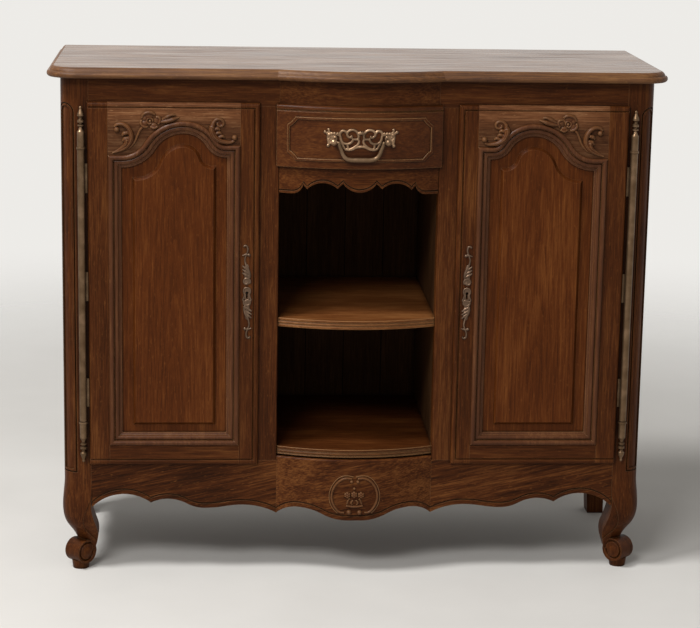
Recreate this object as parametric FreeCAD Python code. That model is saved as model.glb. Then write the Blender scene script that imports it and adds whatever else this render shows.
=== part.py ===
"""Oak credenza: two cupboards, a bow-fronted centre bay with a drawer over an open niche, scroll feet.

Millimetres. +Z is up, the front faces -Y, and the origin lies on the floor under the middle of the piece.
Left is the left hand of someone who faces the front. The left half is drawn and the right half mirrors it.
"""

import FreeCAD, Part
import math
import os

Vector = FreeCAD.Vector

# Overall sizes
WIDTH = 1260.0
DEPTH = 500.0
HEIGHT = 1058.0

# Top board and its moulded edge
TOP_THICKNESS = 21.0
TOP_OVERHANG = 27.0
TOP_EDGE_WIDTH = 14.0
TOP_NOSE_HEIGHT = 12.0
TOP_NOSE_SETBACK = 4.0
TOP_QUIRK = 1.5
TOP_OVOLO_FULLNESS = 0.65

# Centre bay
NICHE_WIDTH = 324.0
BOW_RISE = 35.0
STILE_WIDTH = 46.0
STILE_ROUND = 3.0
NICHE_SHELF_TOP = 546.0
NICHE_SHELF_THICKNESS = 18.0
NICHE_FLOOR_TOP = 272.0
NICHE_FLOOR_THICKNESS = 20.0
NICHE_EDGE_SETBACK = 4.0
FLOOR_UNDERCUT = (12.0, 4.0)
REED_COUNT = 3
REED_GROOVE = 2.0
HOUSING_DEPTH = 6.0

# Carcass frame
FRAME_THICKNESS = 28.0
FRIEZE_HEIGHT = 55.0
CUPBOARD_FLOOR_TOP = 242.0
TENON_LENGTH = 20.0
TENON_THICKNESS = 10.0
TENON_SHOULDER = 10.0
BOARD_THICKNESS = 18.0
CUPBOARD_FLOOR_THICKNESS = 16.0
CUPBOARD_SHELF_TOP = 610.0
SHELF_SETBACK = 12.0
SHELF_END_GAP = 1.0
CLEAT_SIZE = 16.0
CLEAT_SETBACK = 40.0
NICHE_CEILING_THICKNESS = 6.0

# Front posts: a sunk panel on the rounded corner, then the cabriole leg
POST_WIDTH = 57.0
POST_DEPTH = 58.0
POST_ROUND = 32.0
LEG_ROUND_SHARE = 0.6
CORNER_PANEL_HALF_WIDTH = 20.0
CORNER_PANEL_DEPTH = 3.2
CORNER_PANEL_FOOT = 216.0
CORNER_PANEL_HEAD_DROP = 51.0
CORNER_BEAD_WIDTH = 3.6
CORNER_BEAD_MARGIN = 3.0
CORNER_BEAD_HEIGHT = 2.8
LEG_TOP = 205.0
THIGH_HEIGHT = 166.5
THIGH_SWELL = 2.5
KNEE_HEIGHT = 128.0
KNEE_SWELL = 3.6
CALF_HEIGHT = 98.0
CALF_OUTER_INSET = 4.5
CALF_INNER_REACH = 8.0
ANKLE_HEIGHT = 75.0
ANKLE_OUTER_INSET = 18.0
ANKLE_INNER_REACH = 12.0
SHIN_HEIGHT = 54.0
SHIN_OUTER_INSET = 27.0
SHIN_INNER_REACH = 9.0
LEG_END_HEIGHT = 37.0
LEG_END_OUTER_INSET = 33.0
LEG_END_INNER_REACH = 4.0
LEG_BAND_DEPTH = 2.2
LEG_BAND_CLEAR = 20.0
LEG_BAND_WIDTHS = (-3.0, -2.0, 14.0, 25.0, 17.0, -2.0, -3.0)
SCROLL_RADIUS = 25.0
SCROLL_LENGTH = 42.0
SCROLL_HEIGHT = 37.0
SCROLL_INSET = 3.5
VOLUTE_START_RADIUS = 19.5
VOLUTE_STEP = 2.0
VOLUTE_HALF_TURNS = 2
VOLUTE_GROOVE_HALF_WIDTH = 2.6
VOLUTE_GROOVE_DEPTH = 3.6
VOLUTE_EYE_RADIUS = 11.5
VOLUTE_EYE_HEIGHT = 3.0
FOOT_PAD_RADIUS = 16.5
FOOT_PAD_TOP_RADIUS = 19.0
FOOT_PAD_HEIGHT = 18.0

# Back posts and sides
BACK_POST_WIDTH = 45.0
BACK_POST_TAPER = 9.0
BACK_POST_TAPER_HEIGHT = 150.0
SIDE_THICKNESS = 24.0
SIDE_TOP_RAIL_HEIGHT = 80.0
SIDE_BOTTOM_RAIL_TOP = 240.0
SIDE_APRON_END = 150.0
SIDE_APRON_CREST = 172.0
SIDE_APRON_CUSP = 152.0
SIDE_PANEL_THICKNESS = 10.0
SIDE_PANEL_INSET = 10.0
SIDE_FIELD_MARGIN = 34.0
SIDE_FIELD_RISE = 6.0
PANEL_GROOVE = 8.0
BACK_PANEL_THICKNESS = 6.0
BACK_PANEL_INSET = 8.0
BACK_REBATE = 8.0
BACK_RAIL_HEIGHT = 50.0
BACK_RAIL_THICKNESS = 24.0

# Aprons: heights from the floor, distances from the post or from the seam with the centre apron
APRON_AT_LEG = 140.0
APRON_FIRST_CREST = (62.0, 169.0)
APRON_CUSP = (123.0, 150.5)
APRON_SECOND_CREST = (158.0, 158.6)
APRON_SAG = 138.5
APRON_THIRD_CREST = (70.0, 145.5)
APRON_PENDANT = 128.0
APRON_LINE_HEIGHT = 9.0
APRON_LINE_WIDTH = 3.0
APRON_LINE_DEPTH = 2.4
APRON_RIM_ROUND = 4.0
CENTRE_APRON_CREST = (44.0, 146.0)
CENTRE_APRON_DROP = (15.0, 121.0)

# Valance under the drawer: half widths from the middle, depths below its top edge
VALANCE_THICKNESS = 20.0
VALANCE_END_DEPTH = 61.0
VALANCE_STEP = (137.0, 61.0)
VALANCE_STEP_TOP = (114.0, 42.0)
VALANCE_OUTER_CUSP = (106.0, 51.0)
VALANCE_ARCH_CREST = (76.0, 37.0)
VALANCE_INNER_CUSP = (45.0, 48.0)
VALANCE_LOBE_TOP = (34.0, 37.0)
VALANCE_LOBE_DEPTH = 55.0
VALANCE_LINE_HEIGHT = 4.5

# Doors: lipped frames that stand proud of the carcass, with an arched panel
DOOR_GAP = 1.5
DOOR_LIP = 7.0
DOOR_HINGE_LIP = 3.0
DOOR_PROUD = 9.0
LIP_SEAT_GAP = 0.3
DOOR_THICKNESS = 22.0
DOOR_EDGE_ROUND = 6.0
EDGE_QUIRK_AT = 11.0
EDGE_QUIRK_HALF_WIDTH = 2.2
EDGE_QUIRK_DEPTH = 2.6
HINGE_STILE_WIDTH = 42.0
LOCK_STILE_WIDTH = 40.0
BOTTOM_RAIL_HEIGHT = 42.0
DOOR_TENON_LENGTH = 22.0
DOOR_TENON_THICKNESS = 6.0
DOOR_TENON_SETBACK = 1.0
DOOR_TENON_SHOULDER = 9.0
TOP_TENON_FOOT = 31.5
BOTTOM_TENON_FOOT = 3.0
ARCH_PEAK_DROP = 37.0
ARCH_PEAK_FROM_LOCK = 114.0
ARCH_HINGE_SHOULDER_DROP = 107.0
ARCH_LOCK_SHOULDER_DROP = 85.0
ARCH_HINGE_FLAT = 2.0
ARCH_LOCK_FLAT = 4.0
ARCH_HINGE_SHARE = 0.36
ARCH_LOCK_SHARE = 0.18
MOULDING_WIDTH = 26.0
MOULDING_RISE = 5.0
MOULDING_BEAD = 10.4
MOULDING_QUIRK = 2.0
MOULDING_FALL = 3.0
MOULDING_TOE = 3.8
MOULDING_COVE = (1.9, 1.2)
PANEL_EDGE = 8.0
PANEL_BACK_LIP = 3.0
FIELD_SIDE_MARGIN = 28.0
FIELD_BOTTOM_MARGIN = 22.0
FIELD_RISE = 7.0
FIELD_SLOPE = 6.0
FIELD_PEAK_DROP = 54.0
FIELD_HINGE_SHOULDER_DROP = 52.0
FIELD_LOCK_SHOULDER_DROP = 50.0
FIELD_FLAT = 3.0
FIELD_HINGE_SHARE = 0.55
FIELD_LOCK_SHARE = 0.5

# Rod hinges
HINGE_OFFSET = 15.0
HINGE_RADIUS = 7.4
HINGE_COLLAR_RADIUS = 9.0
HINGE_COLLAR_HEIGHT = 4.0
HINGE_END_GAP = 0.25
HINGE_PIN_RADIUS = 4.0
HINGE_PIN_CLEARANCE = 0.08
HINGE_TOP_MARGIN = 95.0
HINGE_BOTTOM_MARGIN = 93.0
HINGE_COLLAR_CHAMFER = 1.0
BARREL_END_CHAMFER = 1.0
KNUCKLE_HEIGHT = 35.0
KNUCKLE_CAP = 10.5
HINGE_PIN_END_GAP = 1.8
FINIAL_CONE = [(4.6, 4.0), (3.0, 10.0)]
FINIAL_LOWER_RING = [(6.2, 11.5), (6.2, 14.0), (3.0, 15.5), (3.0, 17.0)]
FINIAL_UPPER_RING = [(6.6, 19.0), (6.6, 23.0), (3.0, 26.0), (3.0, 28.5)]
FINIAL_URN = [(6.8, 32.0), (6.3, 36.0), (2.4, 46.0), (3.2, 49.0), (2.0, 51.2), (0.0, 52.0)]
HINGE_LEAF = 2.4
HINGE_LEAF_LENGTH = 60.0
HINGE_LEAF_REACH = 18.0
KNUCKLE_LEAF_MARGIN = 6.0

# Locks and escutcheons
LOCK_HEIGHT = 600.0
LOCK_CASE_WIDTH = 50.0
LOCK_CASE_HEIGHT = 70.0
LOCK_CASE_THICKNESS = 12.0
LOCK_CASE_EDGE = 2.5
BOLT_LENGTH = 26.0
BOLT_HEIGHT = 16.0
BOLT_THICKNESS = 6.0
BOLT_CLEARANCE = 0.3
BOLT_THROW = 9.0
MORTISE_CLEARANCE = 1.2
KEYHOLE_FROM_EDGE = 25.0
ESCUTCHEON_THICKNESS = 2.5
ESCUTCHEON_HALF_HEIGHT = 98.0
ESCUTCHEON_BODY_HALF = (8.5, 32.0)
ESCUTCHEON_STEM_HALF = (3.0, 36.0)
ESCUTCHEON_CURL = (6.5, 3.0)
ESCUTCHEON_SIDE_CURL = (5.0, 2.2)
ESCUTCHEON_SIDE_CURL_AT = (5.0, 47.0)
KEYHOLE_RADIUS = 2.6
KEYHOLE_SLOT = (1.3, 10.0)

# Drawer
DRAWER_OPENING_HEIGHT = 114.0
DRAWER_GAP = 1.5
DRAWER_LIP = 6.0
DRAWER_SIDE_GAP = 2.0
DRAWER_SIDE_THICKNESS = 12.0
DRAWER_SIDE_HEIGHT = 98.0
DRAWER_BACK_ROOM = 36.0
DRAWER_BOTTOM_THICKNESS = 5.0
DRAWER_BOTTOM_RISE = 8.0
DRAWER_GROOVE = 5.0
DRAWER_LIFT = 0.3
RUNNER_WIDTH = 22.0
DRAWER_BEAD_SIDE_MARGIN = 21.0
DRAWER_BEAD_TOP_MARGIN = 24.0
DRAWER_BEAD_BOTTOM_MARGIN = 15.0
DRAWER_BEAD_CORNER = 16.0
DRAWER_BEAD_HOLLOW = 8.8
DRAWER_BEAD_WIDTH = 3.8
DRAWER_BEAD_RISE = 2.8

# Drawer pull
PULL_DROP = 65.0
PULL_POST_SPREAD = 55.0
PULL_POST_HEAD = 6.0
PULL_POST_STAND = 8.5
PULL_POST_SHANK = 3.0
PULL_NUT_RADIUS = 6.0
PULL_NUT_HEIGHT = 4.0
PULL_PLATE_THICKNESS = 2.5
PULL_RING_AT = (28.0, 7.0)
PULL_RING = (17.0, 11.5)
PULL_CURL_AT = (7.0, 16.0)
PULL_CURL = (9.0, 5.0)
PULL_ROSETTE = 8.5
PULL_LEAF_TIP = 78.0
PULL_LEAF_HALF_HEIGHT = 6.0
PULL_LINK_HALF_HEIGHT = 2.6
BAIL_HALF_WIDTH = 45.0
BAIL_DROP = 35.0
BAIL_RADIUS = 3.0
BAIL_LEAN = 22.0
BAIL_SHOULDER_DROP = 1.0
BAIL_SHOULDER = 12.0
BAIL_CORNER = 16.0
BAIL_GRIP_HALF_LENGTH = 20.0
BAIL_GRIP_FLAT_SHARE = 0.4
BAIL_GRIP_RADIUS = 4.4
BAIL_PIN_RADIUS = 2.0

# Fits shared by several pieces, and how far a cut runs past the face that it opens
FIT = 0.1
CUT_PAST = 1.0
SAME_DIRECTION = 0.01

# Places worked out from the sizes above
FRONT = -DEPTH / 2 + BOW_RISE + TOP_OVERHANG
BACK = DEPTH / 2
SIDE = WIDTH / 2 - TOP_OVERHANG
CARCASS_TOP = HEIGHT - TOP_THICKNESS
FRAME_BACK = FRONT + FRAME_THICKNESS
POST_BACK = FRONT + POST_DEPTH
POST_INNER = SIDE - POST_WIDTH
BACK_POST_FRONT = BACK - BACK_POST_WIDTH
BACK_POST_INNER = SIDE - BACK_POST_WIDTH
BACK_PANEL_FACE = BACK - BACK_PANEL_INSET - BACK_PANEL_THICKNESS
BAY = NICHE_WIDTH / 2
STILE_OUTER = BAY + STILE_WIDTH
PARTITION_OUTER = BAY + BOARD_THICKNESS
SIDE_INNER = SIDE - SIDE_THICKNESS
BOW_RADIUS = (BAY ** 2 + BOW_RISE ** 2) / (2 * BOW_RISE)
BOW_CENTRE = FRONT - BOW_RISE + BOW_RADIUS
OPENING_TOP = CARCASS_TOP - FRIEZE_HEIGHT
DRAWER_OPENING_BOTTOM = OPENING_TOP - DRAWER_OPENING_HEIGHT
BOW_REACH = 2 * BOW_RISE + FRAME_THICKNESS
FAR = 2 * (WIDTH + DEPTH + HEIGHT)

DOOR_FACE = FRONT - DOOR_PROUD
LIP_BACK = FRONT - LIP_SEAT_GAP
DOOR_BACK = DOOR_FACE + DOOR_THICKNESS
DOOR_HINGE_CORE = -POST_INNER + DOOR_GAP
DOOR_LOCK_CORE = -STILE_OUTER - DOOR_GAP
DOOR_HINGE_EDGE = -POST_INNER - DOOR_HINGE_LIP
DOOR_LOCK_EDGE = -STILE_OUTER + DOOR_LIP
DOOR_BOTTOM = CUPBOARD_FLOOR_TOP - DOOR_LIP
DOOR_TOP = OPENING_TOP + DOOR_LIP
PANEL_HINGE = DOOR_HINGE_EDGE + HINGE_STILE_WIDTH
PANEL_LOCK = DOOR_LOCK_EDGE - LOCK_STILE_WIDTH
PANEL_FRONT = DOOR_BACK - PANEL_BACK_LIP - PANEL_EDGE
HINGE_X = -POST_INNER - HINGE_OFFSET
HINGE_Y = DOOR_FACE
BARREL_TOP = DOOR_TOP - HINGE_TOP_MARGIN
BARREL_BOTTOM = DOOR_BOTTOM + HINGE_BOTTOM_MARGIN
LOCK_X = DOOR_LOCK_EDGE - KEYHOLE_FROM_EDGE
DRAWER_FACE_RADIUS = BOW_RADIUS + DOOR_PROUD
DRAWER_BACK_RADIUS = DRAWER_FACE_RADIUS - DOOR_THICKNESS
PULL_Y = BOW_CENTRE - DRAWER_FACE_RADIUS - PULL_POST_STAND
PULL_HEIGHT = OPENING_TOP - PULL_DROP


# Outlines: a path is a list of segments in a plane, each a line or an arc through three points

def line(start, end):
    return ("line", start, end)


def arc(start, middle, end):
    return ("arc", start, middle, end)


def polyline(points):
    return [line(a, b) for a, b in zip(points, points[1:])]


def polygon(points):
    return polyline(points + points[:1])


def moved(path, dx, dy):
    return [(s[0], *[(x + dx, y + dy) for x, y in s[1:]]) for s in path]


def reverse(path):
    return [(s[0], *reversed(s[1:])) for s in reversed(path)]


def flipped(path):
    """The path mirrored left to right, run so that it still goes the same way round."""
    return [(s[0], *[(-x, y) for x, y in reversed(s[1:])]) for s in reversed(path)]


def level_arc(start, end):
    """An arc that is level where it ends."""
    dx = end[0] - start[0]
    dy = end[1] - start[1]
    radius = (dx * dx + dy * dy) / (2 * abs(dy))
    half = math.atan2(abs(dy), abs(dx))
    x = end[0] - math.copysign(radius * math.sin(half), dx)
    y = end[1] - math.copysign(radius * (1 - math.cos(half)), dy)
    return [arc(start, (x, y), end)]


def ogee(start, end, low_share=0.5, offset=0.0):
    """Two arcs that meet in one slope and are level at both ends, or the curve parallel to them."""
    dx = end[0] - start[0]
    dy = end[1] - start[1]
    turn = 2 * math.atan2(abs(dy), abs(dx))
    radius = abs(dx) / math.sin(turn)
    low = low_share * radius - offset
    high = radius - low
    first, second = (low, high) if dy > 0 else (high, low)

    def along(origin, reach, angle, sign):
        x = origin[0] + sign * math.copysign(reach * math.sin(angle), dx)
        y = origin[1] + sign * math.copysign(reach * (1 - math.cos(angle)), dy)
        return (x, y)

    start = (start[0], start[1] + offset)
    end = (end[0], end[1] + offset)
    join = along(start, first, turn, 1)
    return [
        arc(start, along(start, first, turn / 2, 1), join),
        arc(join, along(end, second, turn / 2, -1), end),
    ]


def arch_path(sides, bottom, shoulders, peak, flats, shares, offset=0.0):
    """A panel outline with a swept head: sides, shoulders, flats and shares run from left to right."""
    left = sides[0] - offset
    right = sides[1] + offset
    base = bottom - offset
    right_spring = (sides[1] - flats[1], shoulders[1])
    left_spring = (sides[0] + flats[0], shoulders[0])
    left_top = shoulders[0] + offset
    right_top = shoulders[1] + offset
    return (
        polyline([(left, base), (right, base), (right, right_top), (right_spring[0], right_top)])
        + ogee(right_spring, peak, shares[1], offset)
        + ogee(peak, left_spring, shares[0], offset)
        + polyline([(left_spring[0], left_top), (left, left_top), (left, base)])
    )


def circle_path(centre, radius):
    x, y = centre
    return [
        arc((x + radius, y), (x, y + radius), (x - radius, y)),
        arc((x - radius, y), (x, y - radius), (x + radius, y)),
    ]


def lens_path(centre, half_width, half_height):
    x, y = centre
    top = (x, y + half_height)
    foot = (x, y - half_height)
    return [arc(foot, (x + half_width, y), top), arc(top, (x - half_width, y), foot)]


# Solids

def edge(segment, place):
    points = [place(p) for p in segment[1:]]
    if segment[0] == "line":
        return Part.LineSegment(*points).toShape()
    return Part.Arc(*points).toShape()


def wire(path, height=0.0):
    return Part.Wire([edge(s, lambda p: Vector(p[0], p[1], height)) for s in path])


def slab(path, low, high):
    return Part.Face(wire(path, low)).extrude(Vector(0, 0, high - low))


def box(x, y, z):
    """A block between two values on each axis."""
    size = [high - low for low, high in (x, y, z)]
    return Part.makeBox(*size, Vector(x[0], y[0], z[0]))


def placed(shape, placement):
    copy = shape.copy()
    copy.Placement = placement.multiply(copy.Placement)
    return copy


def stand(shape, y):
    """Turns a shape drawn flat so that it faces the front, with its height measured forward from y."""
    return placed(shape, FreeCAD.Placement(Vector(0, y, 0), FreeCAD.Rotation(Vector(1, 0, 0), 90)))


def face_left(shape, x):
    """Turns a shape drawn flat so that it faces the left end; its first axis then runs to the front."""
    turn = FreeCAD.Rotation(Vector(0, -1, 0), Vector(0, 0, 1), Vector(-1, 0, 0), "XYZ")
    return placed(shape, FreeCAD.Placement(Vector(x, 0, 0), turn))


def mirrored(shape):
    return shape.mirror(Vector(0, 0, 0), Vector(1, 0, 0))


def both(shape):
    return [shape, mirrored(shape)]


def joined(shapes):
    result = shapes[0].fuse(shapes[1:])
    return result.removeSplitter()


def bow_cylinder(radius):
    return Part.makeCylinder(radius, FAR, Vector(0, BOW_CENTRE, -FAR / 2))


def bowed(path, inner, outer):
    """A front outline bent to the bow, between two radii."""
    block = stand(slab(path, -BOW_REACH, BOW_REACH), FRONT)
    return block.common(bow_cylinder(outer)).cut(bow_cylinder(inner))


def revolved(path, x, y):
    """A turned piece: the path gives radius and height."""
    profile = Part.Wire([edge(s, lambda p: Vector(x + p[0], y, p[1])) for s in path])
    return Part.Face(profile).revolve(Vector(x, y, 0), Vector(0, 0, 1), 360)


def rim_waste(radius, top, corner):
    """What is cut from the upper front edge of a bowed board to round it."""
    slack = corner * (1 - math.sqrt(0.5))
    inner = radius - corner
    foot = top - corner
    outer = radius + CUT_PAST
    above = top + CUT_PAST
    path = polyline([(radius, foot), (outer, foot), (outer, above), (inner, above), (inner, top)])
    path.append(arc((inner, top), (radius - slack, top - slack), (radius, foot)))
    return revolved(path, 0, BOW_CENTRE)


def bow_vee(radius, height, half_width, deep):
    """A vee groove cut level into a bowed face."""
    slope = half_width / deep
    rise = half_width + CUT_PAST * slope
    outer = radius + CUT_PAST
    vee = polygon([(radius - deep, height), (outer, height - rise), (outer, height + rise)])
    return revolved(vee, 0, BOW_CENTRE)


def circle_through(a, b, c):
    d = 2 * (a[0] * (b[1] - c[1]) + b[0] * (c[1] - a[1]) + c[0] * (a[1] - b[1]))
    squares = [p[0] ** 2 + p[1] ** 2 for p in (a, b, c)]
    x = (squares[0] * (b[1] - c[1]) + squares[1] * (c[1] - a[1]) + squares[2] * (a[1] - b[1])) / d
    y = (squares[0] * (c[0] - b[0]) + squares[1] * (a[0] - c[0]) + squares[2] * (b[0] - a[0])) / d
    return x, y, d > 0


def end_directions(segment):
    """Unit directions of travel where a segment starts and ends."""
    if segment[0] == "line":
        (x0, y0), (x1, y1) = segment[1:]
        length = math.hypot(x1 - x0, y1 - y0)
        direction = ((x1 - x0) / length, (y1 - y0) / length)
        return direction, direction
    cx, cy, left_turn = circle_through(*segment[1:])
    sign = 1 if left_turn else -1

    def tangent(p):
        radius = math.hypot(p[0] - cx, p[1] - cy)
        return (-sign * (p[1] - cy) / radius, sign * (p[0] - cx) / radius)

    return tangent(segment[1]), tangent(segment[3])


def run_moulding(segment, profile, before, after):
    """The profile (distance to the left of the path, height) carried along one segment and a bit beyond."""
    start = segment[1]
    direction = end_directions(segment)[0]
    normal = (-direction[1], direction[0])

    def place(p):
        return Vector(start[0] + normal[0] * p[0], start[1] + normal[1] * p[0], p[1])

    section = Part.Face(Part.Wire([edge(s, place) for s in profile]))
    if segment[0] == "line":
        length = math.dist(segment[1], segment[2])
        section.translate(Vector(-direction[0] * before, -direction[1] * before, 0))
        reach = length + before + after
        return section.extrude(Vector(direction[0] * reach, direction[1] * reach, 0))
    cx, cy, left_turn = circle_through(*segment[1:])
    radius = math.dist((cx, cy), start)
    angles = [math.atan2(p[1] - cy, p[0] - cx) for p in (segment[1], segment[3])]
    swept = (angles[1] - angles[0]) % (2 * math.pi)
    sign = 1
    if not left_turn:
        swept = 2 * math.pi - swept
        sign = -1
    axis = Vector(0, 0, sign)
    centre = Vector(cx, cy, 0)
    section.rotate(centre, axis, -math.degrees(before / radius))
    return section.revolve(centre, axis, math.degrees(swept + (before + after) / radius))


def mitre_waste(corner, incoming, outgoing, sign):
    """The block to cut away beyond the mitre at a corner."""
    travel = (incoming[0] + outgoing[0], incoming[1] + outgoing[1])
    length = math.hypot(*travel)
    across = (sign * travel[0] / length, sign * travel[1] / length)
    along = (-across[1], across[0])
    reach = DEPTH

    def point(a, b):
        return (corner[0] + a * along[0] + b * across[0], corner[1] + a * along[1] + b * across[1])

    outline = polygon([point(-reach, 0), point(reach, 0), point(reach, reach), point(-reach, reach)])
    return slab(outline, -reach, reach)


def moulding(path, profile, width, closed):
    """A moulding of the given width that runs along a path and is mitred at its corners."""
    count = len(path)
    pieces = []
    for index, segment in enumerate(path):
        first, last = end_directions(segment)
        arriving = end_directions(path[index - 1])[1]
        leaving = end_directions(path[(index + 1) % count])[0]
        inside_start = closed or index > 0
        inside_end = closed or index < count - 1
        corner_start = inside_start and math.dist(arriving, first) > SAME_DIRECTION
        corner_end = inside_end and math.dist(last, leaving) > SAME_DIRECTION
        piece = run_moulding(segment, profile, width * corner_start, width * corner_end)
        if corner_start:
            piece = piece.cut(mitre_waste(segment[1], arriving, first, -1))
        if corner_end:
            piece = piece.cut(mitre_waste(segment[-1], last, leaving, 1))
        pieces.append(piece)
    return joined(pieces)


# Top board

def top_outline(inset):
    """The sides and the straight front of the top, from the back left corner to the back right."""
    side = WIDTH / 2 - inset
    front = FRONT - TOP_OVERHANG + inset
    corner = POST_ROUND + TOP_OVERHANG - inset
    slack = corner * (1 - math.sqrt(0.5))
    left = [
        line((-side, BACK), (-side, front + corner)),
        arc((-side, front + corner), (-side + slack, front + slack), (-side + corner, front)),
    ]
    straight = line((-side + corner, front), (side - corner, front))
    return left + [straight] + flipped(left)


def top_board():
    """A board with a moulded edge all round but the back, and a bow of the same section in the middle."""
    nose_top = (TOP_NOSE_SETBACK, TOP_NOSE_HEIGHT)
    quirk = (TOP_NOSE_SETBACK + TOP_QUIRK, TOP_NOSE_HEIGHT)
    nose_foot = (TOP_NOSE_SETBACK, 0)
    arris = (TOP_EDGE_WIDTH, TOP_THICKNESS)
    ovolo = (
        arris[0] - (arris[0] - quirk[0]) * TOP_OVOLO_FULLNESS,
        quirk[1] + (arris[1] - quirk[1]) * TOP_OVOLO_FULLNESS,
    )
    edge_line = [
        arc(nose_foot, (0, TOP_NOSE_HEIGHT / 2), nose_top),
        line(nose_top, quirk),
        arc(quirk, ovolo, arris),
    ]
    inside = (TOP_EDGE_WIDTH, 0)
    edging = moulding(
        top_outline(0), [line(inside, nose_foot)] + edge_line + [line(arris, inside)], TOP_EDGE_WIDTH, False
    )
    inner = top_outline(TOP_EDGE_WIDTH)
    core = slab(inner + [line(inner[-1][-1], inner[0][1])], 0, TOP_THICKNESS)
    radius = BOW_RADIUS + TOP_OVERHANG
    rim = [(s[0], *[(radius - w, h) for w, h in s[1:]]) for s in edge_line]
    disc = revolved(
        polyline([(0, 0), rim[0][1]]) + rim + polyline([rim[-1][-1], (0, TOP_THICKNESS), (0, 0)]),
        0, BOW_CENTRE,
    )
    bow_room = box(
        (-BAY - TOP_OVERHANG, BAY + TOP_OVERHANG),
        (BOW_CENTRE - radius, FRONT + TOP_OVERHANG),
        (0, TOP_THICKNESS),
    )
    board = joined([core, edging, disc.common(bow_room)])
    board.translate(Vector(0, 0, CARCASS_TOP))
    return board


# Front posts with cabriole legs

def post_section(outer_inset, inner_reach):
    """A square section with one large rounding on the outer front corner, for the left post."""
    left = -SIDE + outer_inset
    right = -POST_INNER + inner_reach
    front = FRONT + outer_inset
    back = POST_BACK + inner_reach
    radius = min(POST_ROUND, (right - left) * LEG_ROUND_SHARE)
    slack = radius * (1 - math.sqrt(0.5))
    return [
        arc((left, front + radius), (left + slack, front + slack), (left + radius, front)),
        line((left + radius, front), (right, front)),
        line((right, front), (right, back)),
        line((right, back), (left, back)),
        line((left, back), (left, front + radius)),
    ]


def corner_panel(margin, inner, outer):
    """The arched panel on the rounded corner, shrunk by a margin, between two radii."""
    half = CORNER_PANEL_HALF_WIDTH - margin
    head = CARCASS_TOP - CORNER_PANEL_HEAD_DROP - margin
    foot = CORNER_PANEL_FOOT + margin
    spring = head - half
    path = polyline([(-half, spring), (-half, foot), (half, foot), (half, spring)])
    path.append(arc((half, spring), (0, head), (-half, spring)))
    axis = Vector(-SIDE + POST_ROUND, FRONT + POST_ROUND, 0)
    block = stand(slab(path, 0, 2 * POST_ROUND), 0)
    block.rotate(Vector(0, 0, 0), Vector(0, 0, 1), -45)
    block.translate(axis)
    tube = Part.makeCylinder(outer, HEIGHT, axis).cut(Part.makeCylinder(inner, HEIGHT, axis))
    return block.common(tube)


def volute_groove():
    """A vee groove along a spiral of half circles, drawn flat round the scroll's centre."""
    path = []
    x = VOLUTE_START_RADIUS
    radius = VOLUTE_START_RADIUS
    side = 1
    for _ in range(VOLUTE_HALF_TURNS):
        centre = x - side * radius
        end = centre - side * radius
        path.append(arc((x, 0), (centre, side * radius), (end, 0)))
        x = end
        side = -side
        radius -= VOLUTE_STEP
    deep = VOLUTE_GROOVE_DEPTH
    half = VOLUTE_GROOVE_HALF_WIDTH
    profile = polygon([(-half, 0), (0, -deep), (half, 0), (0, deep)])
    pieces = [run_moulding(segment, profile, 0, 0) for segment in path]
    return pieces, x - side * radius


def scroll():
    """The rolled foot, drawn lying on its side with its axis along Z and its middle at the origin."""
    half = SCROLL_LENGTH / 2
    drum = Part.makeCylinder(SCROLL_RADIUS, SCROLL_LENGTH, Vector(0, 0, -half))
    grooves, eye_x = volute_groove()
    for height in (-half, half):
        for groove in grooves:
            waste = groove.copy()
            waste.translate(Vector(0, 0, height))
            drum = drum.cut(waste)
    rise = VOLUTE_EYE_HEIGHT
    reach = VOLUTE_EYE_RADIUS
    crown = (reach ** 2 + rise ** 2) / (2 * rise)
    shoulder = half + rise - crown + math.sqrt(crown ** 2 - reach ** 2 / 4)
    button = [
        line((0, -half - rise), (0, half + rise)),
        arc((0, half + rise), (reach / 2, shoulder), (reach, half)),
        line((reach, half), (reach, -half)),
        arc((reach, -half), (reach / 2, -shoulder), (0, -half - rise)),
    ]
    return drum.fuse(revolved(button, eye_x, 0))


def rail_room():
    """Where the apron and the side rail meet the leg's flat inner faces, above the knee."""
    z = (KNEE_HEIGHT, LEG_TOP)
    x_end = -POST_INNER + POST_WIDTH
    y_end = POST_BACK + POST_DEPTH
    return [
        box((-POST_INNER, x_end), (FRONT - POST_DEPTH, y_end), z),
        box((-SIDE - POST_WIDTH, x_end), (POST_BACK, y_end), z),
    ]


def leg_band(stations):
    """The sunk band on the leg's front, between its inner edge and the line that carries on the apron's."""
    sections = []
    for (height, outer_inset, inner_reach), width in zip(stations, LEG_BAND_WIDTHS):
        front = FRONT + outer_inset
        edge_x = -POST_INNER + inner_reach
        x = (edge_x - width, edge_x + LEG_BAND_CLEAR)
        y = (front - LEG_BAND_CLEAR, front + LEG_BAND_DEPTH)
        sections.append(wire(rectangle(x, y, 0), height))
    return Part.makeLoft(sections, True, False)


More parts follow.
